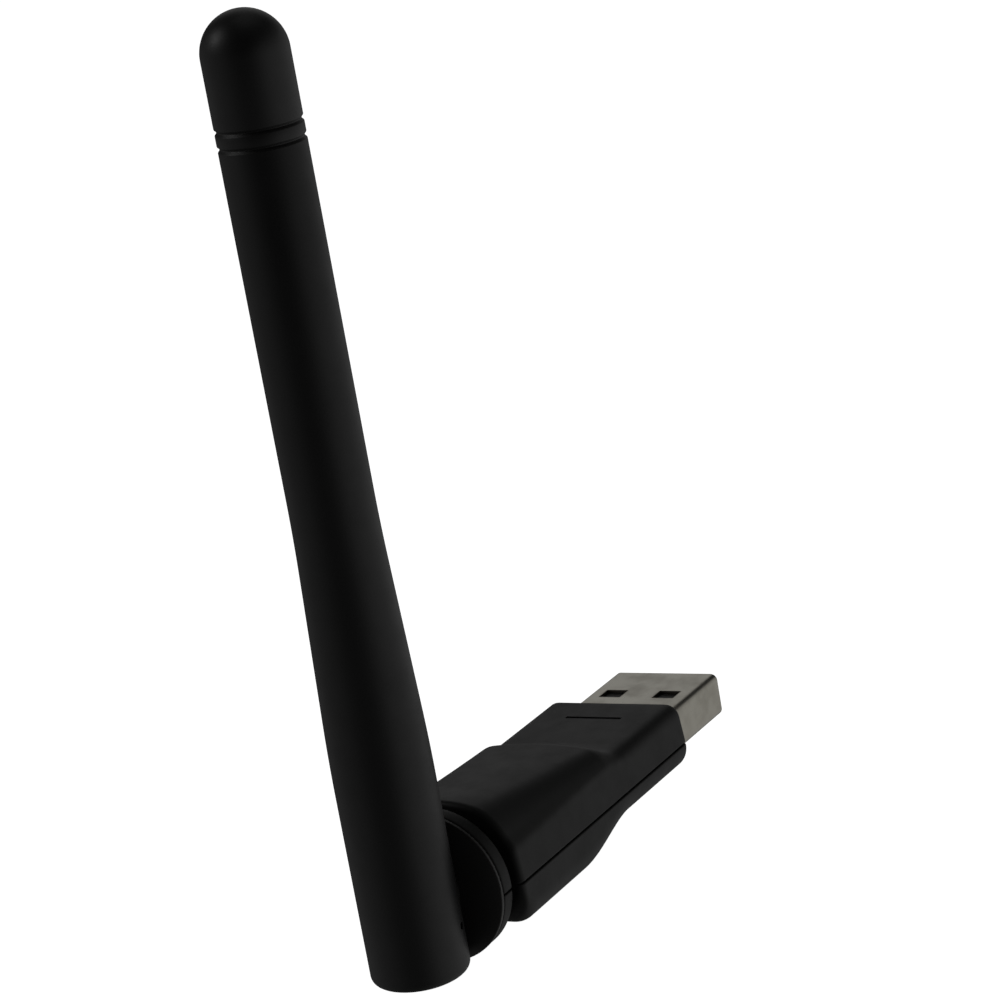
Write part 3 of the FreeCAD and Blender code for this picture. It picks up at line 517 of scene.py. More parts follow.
@dataclass(frozen=True)
class FiredBody(Finish):
    """Ceramic or ferrite: fired, slightly granular, darker where it is chipped."""

    grain: float = 0.08 * MM
    grain_depth: float = 0.004 * MM
    chip: float = 0.2 * MM           # size of the chips
    edge: float = 0.06 * MM          # how far they reach in from the edges

    def paint(self, bench: Bench) -> None:
        """Builds the shader.

        Args:
            bench: The material's empty node tree.
        """
        grain = bench.noise(self.grain, detail=3.0, roughness=0.65)
        chips = bench.edges(self.edge) * bench.noise(self.chip).raised(0.5, 0.7)
        tone = bench.tones(grain, self.colour, 0.8, 1.2)
        bench.finish(
            Base_Color=bench.blend(chips, tone, tinted(self.colour, 0.5)),
            Roughness=self.roughness + (grain - 0.5) * 0.2,
            Normal=bench.bump(grain, self.grain_depth),
        )


FINISHES: Mapping[str, Finish] = {
    "housing_plastic": MouldedPlastic((0.0100, 0.0104, 0.0096), 0.53, shine=0.38),
    "antenna_plastic": MouldedPlastic((0.0105, 0.0105, 0.0105), 0.46,
                                      grain=0.13 * MM, grain_depth=0.005 * MM),
    # painted light: the knuckle's black plastic is made about three times lighter than the housing's,
    # standing in for fill light its shaded face does not get
    "knuckle_plastic": MouldedPlastic((0.034, 0.033, 0.032), 0.46, rubbed_and_highlit=1.15),
    "plug_steel": PlatedSheet((0.53, 0.51, 0.44), 0.29),
    "insulator_plastic": MouldedPlastic((0.012, 0.012, 0.012), 0.5, grain=0.1 * MM),
    "contact_gold": BareMetal((0.83, 0.60, 0.26), 0.22, tarnished=0.12),
    "board_laminate": Laminate((0.012, 0.075, 0.035), 0.32),
    "chip_plastic": FiredBody((0.018, 0.018, 0.019), 0.5),
    "can_metal": BareMetal((0.66, 0.65, 0.62), 0.25, tarnished=0.15),
    "ferrite": FiredBody((0.045, 0.043, 0.042), 0.55, grain=0.12 * MM),
    "ceramic": FiredBody((0.30, 0.20, 0.13), 0.42),
    "lamp_lens": ClearMoulding((0.75, 0.80, 0.74), 0.16, clearness=0.5),
    "clear_guide": ClearMoulding((0.10, 0.10, 0.10), 0.34, clearness=0.35),
    "lead_jacket": SoftSkin((0.020, 0.020, 0.021), 0.48),
    "solder": BareMetal((0.60, 0.60, 0.59), 0.34, tarnished=0.3),
    "ring_rubber": SoftSkin((0.016, 0.016, 0.016), 0.62, dust=0.2),
    "washer_nylon": SoftSkin((0.70, 0.68, 0.62), 0.42),
    "clip_steel": BareMetal((0.42, 0.41, 0.40), 0.3),
    "brass_tube": BareMetal((0.72, 0.52, 0.24), 0.26),
    "copper_wire": BareMetal((0.80, 0.42, 0.26), 0.28),
}


# ---------------------------------------------------------------- studio
class Direction(Enum):
    """Where light comes from: degrees round from +X towards +Y, and degrees above the floor."""

    RIGHT = (-52.0, -8.0)
    FAR = (28.0, 23.0)
    LEFT = (118.0, -4.0)
    OVERHEAD = (-20.0, 78.0)
    LEFT_HIGH = (122.0, 38.0)

    def unit(self) -> Vector:
        """The direction as a unit vector."""
        turn, rise = (math.radians(v) for v in self.value)
        return Vector((math.cos(turn) * math.cos(rise), math.sin(turn) * math.cos(rise), math.sin(rise)))


@dataclass(frozen=True)
class Screen:
    """A lit screen that stands round the table, as light from one side of the surround."""

    towards: Direction
    strength: float
    edge: float                         # cosine of the angle at which it has faded out
    core: float                         # cosine of the angle within which it is at full strength
    top: Pair = (0.18, 0.40)            # it also fades out between these heights

    def glow(self, bench: Bench, way: Signal, height: Signal) -> Signal:
        """How much light comes from this screen.

        Args:
            bench: The surround's node tree.
            way: The direction looked in.
            height: How far up that direction points.

        Returns:
            The strength.
        """
        facing = bench.dot(way, tuple(self.towards.unit()))
        return facing.raised(self.edge, self.core) * (1 - height.raised(*self.top)) * self.strength


@dataclass(frozen=True)
class Softbox:
    """One soft lamp that points at the adapter."""

    name: str
    towards: Direction
    width: float
    height: float
    power: float
    distance: float = 0.6

    def build(self, aim: Vector) -> None:
        """Makes the lamp.

        Args:
            aim: The point it shines at.
        """
        lamp = bpy.data.lights.new(self.name, "AREA")
        lamp.shape = "RECTANGLE"
        lamp.size = self.width
        lamp.size_y = self.height
        lamp.energy = self.power
        box = bpy.data.objects.new(self.name, lamp)
        away = self.towards.unit()
        facing = away.to_track_quat("Z", "Y").to_matrix().to_4x4()
        box.matrix_world = Matrix.Translation(aim + away * self.distance) @ facing
        box.visible_camera = False
        bpy.context.scene.collection.objects.link(box)


@dataclass(frozen=True)
class Studio:
    """A pale floor, a white surround, soft light from screens and lamps, and the camera."""

    floor_gap: float = 0.05 * MM        # the floor lies this far under the lowest piece
    floor_half: float = 6.0
    floor_colour: Colour = (0.86, 0.86, 0.86)
    floor_glow: float = 1.0
    surround: float = 0.014             # light from all round, apart from the screens
    table_light: float = 0.05           # and from below the horizon
    horizon: Pair = (-0.16, 0.03)       # heights between which that light fades out
    camera_place: Triple = (-0.28171, -0.16362, 0.11563)
    camera_bearing: float = 31.519      # degrees from +X towards +Y that the camera looks along
    camera_drop: float = 15.257         # degrees that it looks down
    camera_roll: float = -10.089
    lens: float = 120.78                # in Blender's millimetres, on a 36 mm sensor
    sensor: float = 36.0
    near_limit: float = 0.01            # the camera sees nothing nearer than this
    screens: tuple[Screen, ...] = (
        Screen(Direction.RIGHT, 0.30, 0.15, 0.85),
        Screen(Direction.FAR, 0.36, 0.88, 0.985, top=(0.6, 0.8)),
        Screen(Direction.LEFT, 0.12, 0.35, 0.95),
    )
    lamps: tuple[Softbox, ...] = (
        Softbox("overhead_softbox", Direction.OVERHEAD, 0.4, 0.4, 0.10),
        Softbox("left_softbox", Direction.LEFT_HIGH, 0.20, 0.20, 0.30),
    )

    def build(self, low: Vector, high: Vector) -> None:
        """Sets up the studio round the adapter.

        Args:
            low: Lowest corner of the adapter's box.
            high: Highest corner.
        """
        self.lay_floor(low.z - self.floor_gap)
        self.light_surround()
        for lamp in self.lamps:
            lamp.build((low + high) / 2)
        self.set_camera()
        bpy.context.scene.view_settings.view_transform = "Standard"

    def lay_floor(self, level: float) -> None:
        """Lays the floor.

        Args:
            level: Its height.
        """
        corners = [(x * self.floor_half, y * self.floor_half, level)
                   for x, y in ((-1, -1), (1, -1), (1, 1), (-1, 1))]
        mesh = bpy.data.meshes.new("floor")
        mesh.from_pydata(corners, [], [(0, 1, 2, 3)])
        floor = bpy.data.objects.new("floor", mesh)
        material = bpy.data.materials.new("floor_white")
        material.use_nodes = True
        bench = Bench(material.node_tree)
        bench.finish(Base_Color=(*self.floor_colour, 1.0), Roughness=1.0, Specular_IOR_Level=0.0,
                     Emission_Color=(1.0, 1.0, 1.0, 1.0), Emission_Strength=self.floor_glow)
        mesh.materials.append(material)
        floor.visible_diffuse = False
        floor.visible_glossy = False
        floor.visible_shadow = False
        bpy.context.scene.collection.objects.link(floor)

    def light_surround(self) -> None:
        """Makes the surround white to look at, and dim as a source of light."""
        world = bpy.data.worlds.new("surround")
        bpy.context.scene.world = world
        world.use_nodes = True
        bench = Bench(world.node_tree)
        way = bench.add("ShaderNodeTexCoord", output="Generated")
        height = bench.axis(way, "Z")
        light = (1 - height.raised(*self.horizon)) * self.table_light + self.surround
        for screen in self.screens:
            light = light + screen.glow(bench, way, height)
        seen = bench.add("ShaderNodeLightPath", output="Is Camera Ray")
        strength = light + seen * (1 - light)
        glow = bench.add("ShaderNodeBackground", None,
                         {"Color": (1.0, 1.0, 1.0, 1.0), "Strength": strength})
        bench.add("ShaderNodeOutputWorld", None, {"Surface": glow})

    def set_camera(self) -> None:
        """Places the camera."""
        turn, drop, roll = (math.radians(a) for a in
                            (self.camera_bearing, self.camera_drop, self.camera_roll))
        ahead = Vector((math.cos(drop) * math.cos(turn), math.cos(drop) * math.sin(turn), -math.sin(drop)))
        level = Vector((math.sin(turn), -math.cos(turn), 0.0))
        upright = level.cross(ahead)
        right = level * math.cos(roll) + upright * math.sin(roll)
        up = upright * math.cos(roll) - level * math.sin(roll)
        lens = bpy.data.cameras.new("camera")
        lens.lens = self.lens
        lens.sensor_width = self.sensor
        lens.clip_start = self.near_limit
        camera = bpy.data.objects.new("camera", lens)
        turned = Matrix((right, up, -ahead)).transposed().to_4x4()
        camera.matrix_world = Matrix.Translation(Vector(self.camera_place)) @ turned
        bpy.context.scene.collection.objects.link(camera)
        bpy.context.scene.camera = camera


# ---------------------------------------------------------------- mesh work
SMOOTH_BELOW = math.radians(32.0)    # faces that meet at a smaller angle are shaded as one surface
SAME_POINT = 0.0005 * MM             # corners that are closer together are merged


def shade(data: bpy.types.Mesh) -> None:
    """Shades a mesh smoothly, except along its sharp edges."""
    data.shade_smooth()
    data.set_sharp_from_angle(angle=SMOOTH_BELOW)


def solid_object(name: str, mesh: bmesh.types.BMesh) -> bpy.types.Object:
    """Turns a mesh into an object, smooth except along its sharp edges.

    Args:
        name: The object's name.
        mesh: The mesh, which is used up.

    Returns:
        The object, linked to the scene.
    """
    data = bpy.data.meshes.new(name)
    mesh.to_mesh(data)
    mesh.free()
    shade(data)
    made = bpy.data.objects.new(name, data)
    bpy.context.scene.collection.objects.link(made)
    return made


def arc(centre: Pair, radius: float, first: float, last: float, count: int) -> list[Pair]:
    """Points on an arc of a turned profile.

    Args:
        centre: (radius, height) of its centre.
        radius: The arc's radius.
        first: Angle of its start above the horizontal, in degrees.
        last: Angle of its end.
        count: Steps along it.

    Returns:
        (radius, height) points.
    """
    turns = [math.radians(first + (last - first) * i / count) for i in range(count + 1)]
    return [(centre[0] + radius * math.cos(a), centre[1] + radius * math.sin(a)) for a in turns]


def turned(name: str, profile: Sequence[Pair], centre: Pair, steps: int = 48) -> bpy.types.Object:
    """Turns a profile about an upright axis.

    Args:
        name: The object's name.
        profile: (radius, height) points; a profile that starts and ends off the axis is closed to a ring.
        centre: Where the axis stands, in X and Y.
        steps: Points round the axis.

    Returns:
        The object.
    """
    x, y = centre
    turns = [2 * math.pi * i / steps for i in range(steps)]
    mesh = bmesh.new()
    rings = []
    for radius, height in profile:
        rings.append([mesh.verts.new((x + radius * math.cos(turn), y + radius * math.sin(turn), height))
                      for turn in (turns[:1] if radius == 0 else turns)])
    pairs = list(zip(rings, rings[1:]))
    if profile[0][0] > 0 and profile[-1][0] > 0:
        pairs.append((rings[-1], rings[0]))
    for low, high in pairs:
        for i in range(steps):
            corners = ((low, i), (low, i + 1), (high, i + 1), (high, i))
            mesh.faces.new(list(dict.fromkeys(ring[j % len(ring)] for ring, j in corners)))
    bmesh.ops.recalc_face_normals(mesh, faces=mesh.faces)
    return solid_object(name, mesh)


def bar(name: str, low: Sequence[float], high: Sequence[float], rounding: float) -> bpy.types.Object:
    """Makes a bar with rounded edges.

    Args:
        name: The object's name.
        low: Lowest corner.
        high: Highest corner.
        rounding: Radius of its edges.

    Returns:
        The object.
    """
    mesh = bmesh.new()
    bmesh.ops.create_cube(mesh, size=1.0)
    for vert in mesh.verts:
        vert.co = [a + (b - a) * (c + 0.5) for a, b, c in zip(low, high, vert.co)]
    bmesh.ops.bevel(mesh, geom=mesh.edges[:], offset=rounding, segments=4, profile=0.5, affect="EDGES")
    return solid_object(name, mesh)


def rod(name: str, start: Vector, end: Vector, radius: float) -> bpy.types.Object:
    """Makes a round bar between two points.

    Args:
        name: The object's name.
        start: Middle of one end.
        end: Middle of the other.
        radius: Its radius.

    Returns:
        The object.
    """
    way = end - start
    profile = [(0.0, 0.0), (radius, 0.0), (radius, way.length), (0.0, way.length)]
    piece = turned(name, profile, (0.0, 0.0))
    piece.data.transform(Matrix.Translation(start) @ way.to_track_quat("Z", "Y").to_matrix().to_4x4())
    return piece


def cut_away(piece: bpy.types.Object, tool: bpy.types.Object) -> None:
    """Cuts one solid out of another and removes the tool.

    Args:
        piece: What is cut.
        tool: What is cut away.
    """
    modifier = piece.modifiers.new("cut", "BOOLEAN")
    modifier.operation = "DIFFERENCE"
    modifier.solver = "EXACT"
    modifier.object = tool
    settle(piece)
    bpy.data.objects.remove(tool)


def settle(piece: bpy.types.Object) -> None:
    """Applies a piece's modifiers and marks its sharp edges again.

    Args:
        piece: The piece.
    """
    bpy.context.view_layer.update()
    data = bpy.data.meshes.new_from_object(piece.evaluated_get(bpy.context.evaluated_depsgraph_get()))
    piece.modifiers.clear()
    piece.data = data
    shade(data)


def joined(pieces: Sequence[bpy.types.Object]) -> bpy.types.Object:
    """Joins pieces into the first one's mesh.

    Args:
        pieces: The pieces.

    Returns:
        The first piece.
    """
    mesh = bmesh.new()
    for piece in pieces:
        mesh.from_mesh(piece.data)
    mesh.to_mesh(pieces[0].data)
    mesh.free()
    for piece in pieces[1:]:
        bpy.data.objects.remove(piece)
    shade(pieces[0].data)
    return pieces[0]


# ---------------------------------------------------------------- workshop
class Body(Enum):
    """The two bodies that the swivel joins."""

    HOUSING = "housing"
    ANTENNA = "antenna"


class Workshop:
    """Holds the finishes and dresses pieces with them."""

    def __init__(self) -> None:
        """Makes one material for each finish."""
        self.materials = {name: finish.make(name + "_finish") for name, finish in FINISHES.items()}

    def dress(self, piece: bpy.types.Object, slot: str, body: Body) -> None:
        """Gives a new piece its finish and its body.

        Args:
            piece: The piece.
            slot: Its slot in the record.
            body: The body that it rides on.
        """
        piece.data.materials.clear()
        piece.data.materials.append(self.materials[slot])
        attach(piece, body.value)
        log.info("made %s", piece.name)

    def dress_node(self, name: str) -> None:
        """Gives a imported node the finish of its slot.

        Args:
            name: The node.
        """
        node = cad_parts[name]
        for slot in node.material_slots:
            slot.material = self.materials[slot.material.name.split(".")[0]]
        log.info("dressed %s", name)


# ---------------------------------------------------------------- moulded skins
def both(first: Grid, second: Grid, radius: float) -> Grid:
    """Distance from the surface of what two shapes share, with their corner rounded.

    Args:
        first: Distance from the first shape, below 0 inside.
        second: Distance from the second shape.
        radius: Radius of the corner.

    Returns:
        The joint distance.
    """
    corner = np.hypot(np.maximum(first + radius, 0), np.maximum(second + radius, 0))
    return np.minimum(np.maximum(first, second) + radius, 0) + corner - radius


def either(first: Grid, second: Grid, fillet: float) -> Grid:
    """Distance from the surface of two shapes joined, with a fillet where they meet.

    Args:
        first: Distance from the first shape, below 0 inside.
        second: Distance from the second shape.
        fillet: Size of the fillet.

    Returns:
        The joint distance.
    """
    share = np.clip(0.5 + 0.5 * (second - first) / fillet, 0, 1)
    return second + (first - second) * share - fillet * share * (1 - share)


def eased(share: float) -> float:
    """0 to 1 along a curve that is level at both ends."""
    held = min(1.0, max(0.0, share))
    return held * held * (3 - 2 * held)


def disc(radius: float) -> Outline:
    """A round outline about the swivel's axis."""
    return lambda y, z: np.hypot(y, z) - radius


def rounding_depths(radius: float, steps: int) -> list[float]:
    """Depths from an end at which the sections of its rounded edge lie."""
    return [radius * (1 - math.cos(math.radians(90 * i / steps))) for i in range(steps + 1)]


def end_inset(depth: float, radius: float) -> float:
    """How far a section lies inside the full outline near a rounded end.

    Args:
        depth: Distance from the end.
        radius: Radius of the end's edge.

    Returns:
        The inset.
    """
    left = max(0.0, radius - depth)
    return radius - math.sqrt(radius * radius - left * left)


@dataclass(frozen=True)
class HousingShape:
    """The housing's outside and the openings in it, as distances in a section across X."""

    half_w: float
    seam_z: float
    rear_x: float
    plateau_z: float = 3.6 * MM         # top of the flat front part
    side_lean: float = 0.09             # how far the sides come in, per height above the seam
    plateau_round: float = 1.3 * MM
    foot_x: float = -12.2 * MM          # the hump rises from here
    crest_x: float = -16.4 * MM         # to its crest here, and on to the rear
    crest_z: float = 5.4 * MM
    crest_crown: float = 40.0 * MM      # radius across the top at the crest
    crest_shoulder: float = 2.2 * MM    # radius between top and sides there
    hump_z: float = 7.45 * MM           # the same three sizes at the rear
    hump_crown: float = 14.0 * MM
    hump_shoulder: float = 3.6 * MM
    crease: float = 0.05 * MM           # the hump starts this far below the plateau
    crest_fillet: float = 0.6 * MM      # softness of the line where the two meet
    belly_z: float = -3.3 * MM          # underside at the front
    rear_belly_z: float = -5.3 * MM     # and at the rear
    belly_start: float = -12.5 * MM
    belly_end: float = -22.5 * MM
    belly_corner: float = 2.5 * MM
    heel: float = 2.2 * MM              # rounding of the underside's rear edge
    plug_half_w: float = 6.05 * MM
    plug_half_h: float = 2.30 * MM
    plug_corner: float = 0.75 * MM

    def side(self, y: Grid, z: Grid) -> Grid:
        """Distance from the leaning side of the upper half."""
        lean = math.cos(math.atan(self.side_lean))
        return (np.abs(y) - self.half_w + self.side_lean * (z - self.seam_z)) * lean

    def hump(self, x: float) -> Triple:
        """Top height, crown radius and shoulder radius of the hump.

        Args:
            x: Where.

        Returns:
            The three sizes.
        """
        if x > self.crest_x:
            share = eased((self.foot_x - x) / (self.foot_x - self.crest_x))
            foot_z = self.plateau_z - self.crease
            return (foot_z + (self.crest_z - foot_z) * share, self.crest_crown,
                    self.plateau_round + (self.crest_shoulder - self.plateau_round) * share)
        share = (self.crest_x - x) / (self.crest_x - self.rear_x)
        curve = 1 / self.crest_crown + (1 / self.hump_crown - 1 / self.crest_crown) * share
        return (self.crest_z + (self.hump_z - self.crest_z) * share, 1 / curve,
                self.crest_shoulder + (self.hump_shoulder - self.crest_shoulder) * share)

    def upper(self, x: float, y: Grid, z: Grid) -> Grid:
        """Distance from the upper half's outside.

        Args:
            x: Where the section is.
            y: Points in it.
            z: Points in it.

        Returns:
            The distances.
        """
        side = self.side(y, z)
        block = both(side, z - self.plateau_z, self.plateau_round)
        if x > self.foot_x:
            return block
        top, crown, shoulder = self.hump(x)
        crowned = np.hypot(y, z - (top - crown)) - crown
        hump = np.maximum(both(side - self.crease, crowned, shoulder), side)
        return np.maximum(either(block, hump, self.crest_fillet), side)

    def belly(self, x: float) -> float:
        """Height of the underside, the heel's rounding with it.

        Args:
            x: Where.

        Returns:
            The height.
        """
        share = (self.belly_start - x) / (self.belly_start - self.belly_end)
        level = self.belly_z + (self.rear_belly_z - self.belly_z) * eased(share)
        return level + end_inset(x - self.rear_x, self.heel)

    def lower(self, x: float, y: Grid, z: Grid) -> Grid:
        """Distance from the lower half's outside."""
        return both(np.abs(y) - self.half_w, self.belly(x) - z, self.belly_corner)

    def plug_hole(self, y: Grid, z: Grid) -> Grid:
        """Distance from the opening round the plug."""
        return both(np.abs(y) - self.plug_half_w, np.abs(z) - self.plug_half_h, self.plug_corner)


@dataclass(frozen=True)
class Section:
    """One section of a shell: where it is, and the outlines of its outside and of the room in it."""

    x: float
    outer: Outline
    inner: Outline


class ShellHalf(Enum):
    """Which half of the housing a shell is; the value is +1 above the seam and -1 below it."""

    UPPER = 1
    LOWER = -1


@dataclass(frozen=True)
class HousingShells:
    """The two moulded halves of the housing with their neck and collar."""

    shape: HousingShape
    collar_face: float
    wall: float = 0.95 * MM
    front_wall: float = 1.4 * MM
    rear_wall: float = 1.2 * MM
    end_round: float = 0.6 * MM
    neck_r: float = 6.2 * MM
    neck_l: float = 1.0 * MM
    collar_r: float = 7.35 * MM
    collar_l: float = 1.6 * MM
    collar_round: float = 0.2 * MM
    bore_r: float = 3.25 * MM          # for the swivel's shank
    pocket_r: float = 4.5 * MM         # for the friction ring
    pocket_l: float = 1.1 * MM
    groove: float = 0.14 * MM          # height of the groove along the seam
    groove_depth: float = 0.28 * MM
    lip: float = 0.16 * MM             # rounding of both shells' edges along the seam
    slot_x: float = -4.5 * MM
    slot_half_l: float = 3.2 * MM
    slot_half_w: float = 0.25 * MM
    slot_round: float = 0.05 * MM
    boss_xs: Pair = (-8.8 * MM, -28.4 * MM)
    boss_y: float = 4.8 * MM
    boss_r: float = 1.25 * MM
    boss_root: float = 0.2 * MM        # the lower bosses reach this far into the wall
    boss_gap: float = 0.06 * MM        # between the board and the upper bosses
    peg_r: float = 0.6 * MM
    peg_fit: float = 0.05 * MM         # between a peg and its hole
    peg_past: float = 0.6 * MM         # a peg is straight up to here above the board
    peg_top: float = 0.75 * MM         # and ends here, with its rim cut off
    peg_top_share: float = 0.7         # radius of its end as a share of its own
    lip_turns: tuple[float, ...] = (0.0, 0.25, 0.5, 0.8, 1.15, 1.7, 2.6)    # degrees up from the seam
    first_step: float = 1.4            # degrees from those points to the next
    turn_step: float = 2.0             # degrees between points round an outline
    halvings: int = 40                 # of the search along each ray
    probes: int = 400                  # heights tried to find the upper wall
    long_step: float = 0.55 * MM       # between sections
    fine_step: float = 0.17 * MM       # the same at the rise of the hump and the heel
    past_crest: float = 0.6 * MM       # how far behind the crest the fine ones go
    end_steps: int = 6                 # sections in the rounding at each end
    collar_steps: int = 3              # and in the collar's

    @classmethod
    def from_frame(cls) -> "HousingShells":
        """Takes the outline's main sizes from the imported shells.

        Returns:
            The shells.
        """
        low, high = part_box("lower_shell")
        seam_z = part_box("upper_shell")[0].z
        rear_x = low.x + cls.neck_l + cls.collar_l
        return cls(HousingShape(half_w=high.y, seam_z=seam_z, rear_x=rear_x), low.x)

    def turns(self) -> Grid:
        """Angles of the points round an outline, closer together beside the seam.

        Returns:
            The angles, from one side of the seam to the other.
        """
        middle = np.arange(self.lip_turns[-1] + self.first_step, 90.0, self.turn_step)
        quarter = np.concatenate([self.lip_turns, middle])
        return np.radians(np.concatenate([quarter, [90.0], 180.0 - quarter[::-1]]))

    def points(self, outline: Outline, half: ShellHalf, start_z: float) -> list[Pair]:
        """Points where rays from the middle of the seam meet an outline.

        Args:
            outline: The outline.
            half: The half that the rays go to.
            start_z: Height that they start at.

        Returns:
            (y, z) of each point.
        """
        turns = self.turns()
        way_y, way_z = np.cos(turns), np.sin(turns) * half.value
        near, far = np.zeros_like(turns), np.full_like(turns, 2 * self.shape.half_w)
        for _ in range(self.halvings):
            middle = (near + far) / 2
            inside = outline(middle * way_y, start_z + middle * way_z) < 0
            near, far = np.where(inside, middle, near), np.where(inside, far, middle)
        return [(r * y, start_z + r * z) for r, y, z in zip(near, way_y, way_z)]

    def loop(self, section: Section, half: ShellHalf) -> tuple[list[Pair], list[Pair]]:
        """Both outlines of a section, from one side of the seam to the other, with equal counts.

        Args:
            section: The section.
            half: The half it belongs to.

        Returns:
            The outer and the inner points.
        """
        seam = self.shape.seam_z
        start = seam + (self.groove if half is ShellHalf.UPPER else 0.0)

        def lipped(y: Grid, z: Grid) -> Grid:
            """Distance from the outside, with its lip at the seam rounded."""
            return both(section.outer(y, z), (start - z) * half.value, self.lip)

        outer = self.points(lipped, half, start)
        inner = self.points(section.inner, half, start)
        if half is ShellHalf.LOWER:
            return outer, inner
        (y0, z0), (y1, z1) = outer[0], outer[-1]
        back = self.groove_depth - self.lip
        outer = [(y0 - back, seam), (y0 - back, z0), *outer, (y1 + back, z1), (y1 + back, seam)]
        (y0, z0), (y1, z1) = inner[0], inner[-1]
        inner = [(y0, seam), (y0, (seam + z0) / 2), *inner, (y1, (seam + z1) / 2), (y1, seam)]
        return outer, inner

    def places(self) -> list[float]:
        """Where the housing's sections lie, closer together at the ends and on the rise of the hump.

        Returns:
            Their places along X, from the front.
        """
        rear, rounding = self.shape.rear_x, self.end_round
        risen, heel = self.shape.crest_x - self.past_crest, rear + self.shape.heel
        ends = rounding_depths(rounding, self.end_steps)
        xs = [-d for d in ends] + [rear + d for d in ends]
        for first, last, step in ((-rounding, self.shape.foot_x, self.long_step),
                                  (self.shape.foot_x, risen, self.fine_step),
                                  (risen, heel, self.long_step),
                                  (heel, rear + rounding, self.fine_step)):
            count = max(1, round((first - last) / step))
            xs += [first + (last - first) * i / count for i in range(1, count)]
        return sorted(xs, reverse=True)

    def outside(self, half: ShellHalf, x: float, inset: float) -> Outline:
        """A shell's outside in the section at x, moved in by an inset."""
        skin = self.shape.upper if half is ShellHalf.UPPER else self.shape.lower
        return lambda y, z: skin(x, y, z) + inset

    def box_sections(self, half: ShellHalf) -> list[Section]:
        """Sections of a shell from its front to its rear wall.

        Args:
            half: Which shell.

        Returns:
            The sections.
        """
        shape, bore = self.shape, disc(self.bore_r)
        room_front, room_rear = -self.front_wall, shape.rear_x + self.rear_wall
        found = []
        for x in self.places():
            inset = end_inset(min(-x, x - shape.rear_x), self.end_round)
            if x > room_front:
                inner = shape.plug_hole
            elif x > room_rear:
                inner = self.outside(half, x, self.wall)
            else:
                inner = bore
            found.append(Section(x, self.outside(half, x, inset), inner))
        for x, openings in ((room_front, (shape.plug_hole, self.outside(half, room_front, self.wall))),
                            (room_rear, (self.outside(half, room_rear, self.wall), bore))):
            at = sum(1 for s in found if s.x > x)
            found[at:at] = [Section(x, self.outside(half, x, 0.0), inner) for inner in openings]
        return found

    def collar_sections(self) -> list[Section]:
        """Sections of the neck and the collar, with the pocket in the collar's face.

        Returns:
            The sections.
        """
        bore, pocket = disc(self.bore_r), disc(self.pocket_r)
        front, pocket_end = self.collar_face + self.collar_l, self.collar_face + self.pocket_l
        rims = [(depth, disc(self.collar_r - end_inset(depth, self.collar_round)))
                for depth in rounding_depths(self.collar_round, self.collar_steps)]
        return [*(Section(x, disc(self.neck_r), bore) for x in (self.shape.rear_x, front)),
                *(Section(front - depth, rim, bore) for depth, rim in rims),
                *(Section(pocket_end, disc(self.collar_r), inner) for inner in (bore, pocket)),
                *(Section(self.collar_face + depth, rim, pocket) for depth, rim in reversed(rims))]

    def build(self, half: ShellHalf) -> bpy.types.Object:
        """Makes one shell.

        Args:
            half: Which shell.

        Returns:
            The shell.
        """
        mesh = bmesh.new()
        rows = []
        for section in (*self.box_sections(half), *self.collar_sections()):
            rows.append([[mesh.verts.new((section.x, y, z)) for y, z in chain]
                         for chain in self.loop(section, half)])
        last = len(rows[0][0]) - 1
        for front, rear in zip(rows, rows[1:]):
            for ahead, behind in zip(front, rear):
                for i in range(last):
                    mesh.faces.new((ahead[i], ahead[i + 1], behind[i + 1], behind[i]))
            for i in (0, last):
                mesh.faces.new((front[0][i], front[1][i], rear[1][i], rear[0][i]))
        for outer, inner in (rows[0], rows[-1]):
            for i in range(last):
                mesh.faces.new((outer[i], outer[i + 1], inner[i + 1], inner[i]))
        bmesh.ops.remove_doubles(mesh, verts=mesh.verts, dist=SAME_POINT)
        bmesh.ops.recalc_face_normals(mesh, faces=mesh.faces)
        return solid_object(f"{half.name.lower()}_skin", mesh)

    def ceiling(self, x: float, y: float) -> float:
        """Height of the middle of the upper shell's wall over a point.

        Args:
            x: Where along the housing.
            y: Where across it.

        Returns:
            The height.
        """
        heights = np.linspace(0.0, self.shape.hump_z, self.probes)
        inside = self.shape.upper(x, np.full_like(heights, y), heights) < -self.wall / 2
        return float(heights[inside].max())

    def bosses(self, half: ShellHalf) -> list[bpy.types.Object]:
        """Makes the bosses and pegs that hold the board, inside one shell.

        Args:
            half: Which shell.

        Returns:
            One piece for each boss.
        """
        board_low, board_high = (corner.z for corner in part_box("circuit_board"))
        made = []
        for x, y in product(self.boss_xs, (self.boss_y, -self.boss_y)):
            if half is ShellHalf.UPPER:
                foot, roof = board_high + self.boss_gap, self.ceiling(x, abs(y) + self.boss_r)
                hole_r = self.peg_r + self.peg_fit
                profile = [(hole_r, foot), (self.boss_r, foot), (self.boss_r, roof), (hole_r, roof)]
            else:
                floor, tip = self.shape.belly(x) + self.wall - self.boss_root, board_high + self.peg_top
                profile = [(0.0, floor), (self.boss_r, floor), (self.boss_r, board_low),
                           (self.peg_r, board_low), (self.peg_r, board_high + self.peg_past),
                           (self.peg_r * self.peg_top_share, tip), (0.0, tip)]
            made.append(turned(f"{half.name.lower()}_boss_{len(made) + 1}", profile, (x, y)))
        return made

    def make(self, workshop: Workshop) -> None:
        """Builds and dresses both shells.

        Args:
            workshop: The finishes.
        """
        for half in ShellHalf:
            skin = self.build(half)
            if half is ShellHalf.UPPER:
                low = (self.slot_x - self.slot_half_w, -self.slot_half_l, 0.0)
                high = (self.slot_x + self.slot_half_w, self.slot_half_l, self.shape.hump_z)
                cut_away(skin, bar("slot", low, high, self.slot_round))
            skin = joined([skin, *self.bosses(half)])
            workshop.dress(skin, "housing_plastic", Body.HOUSING)
            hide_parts(f"{half.name.lower()}_shell")


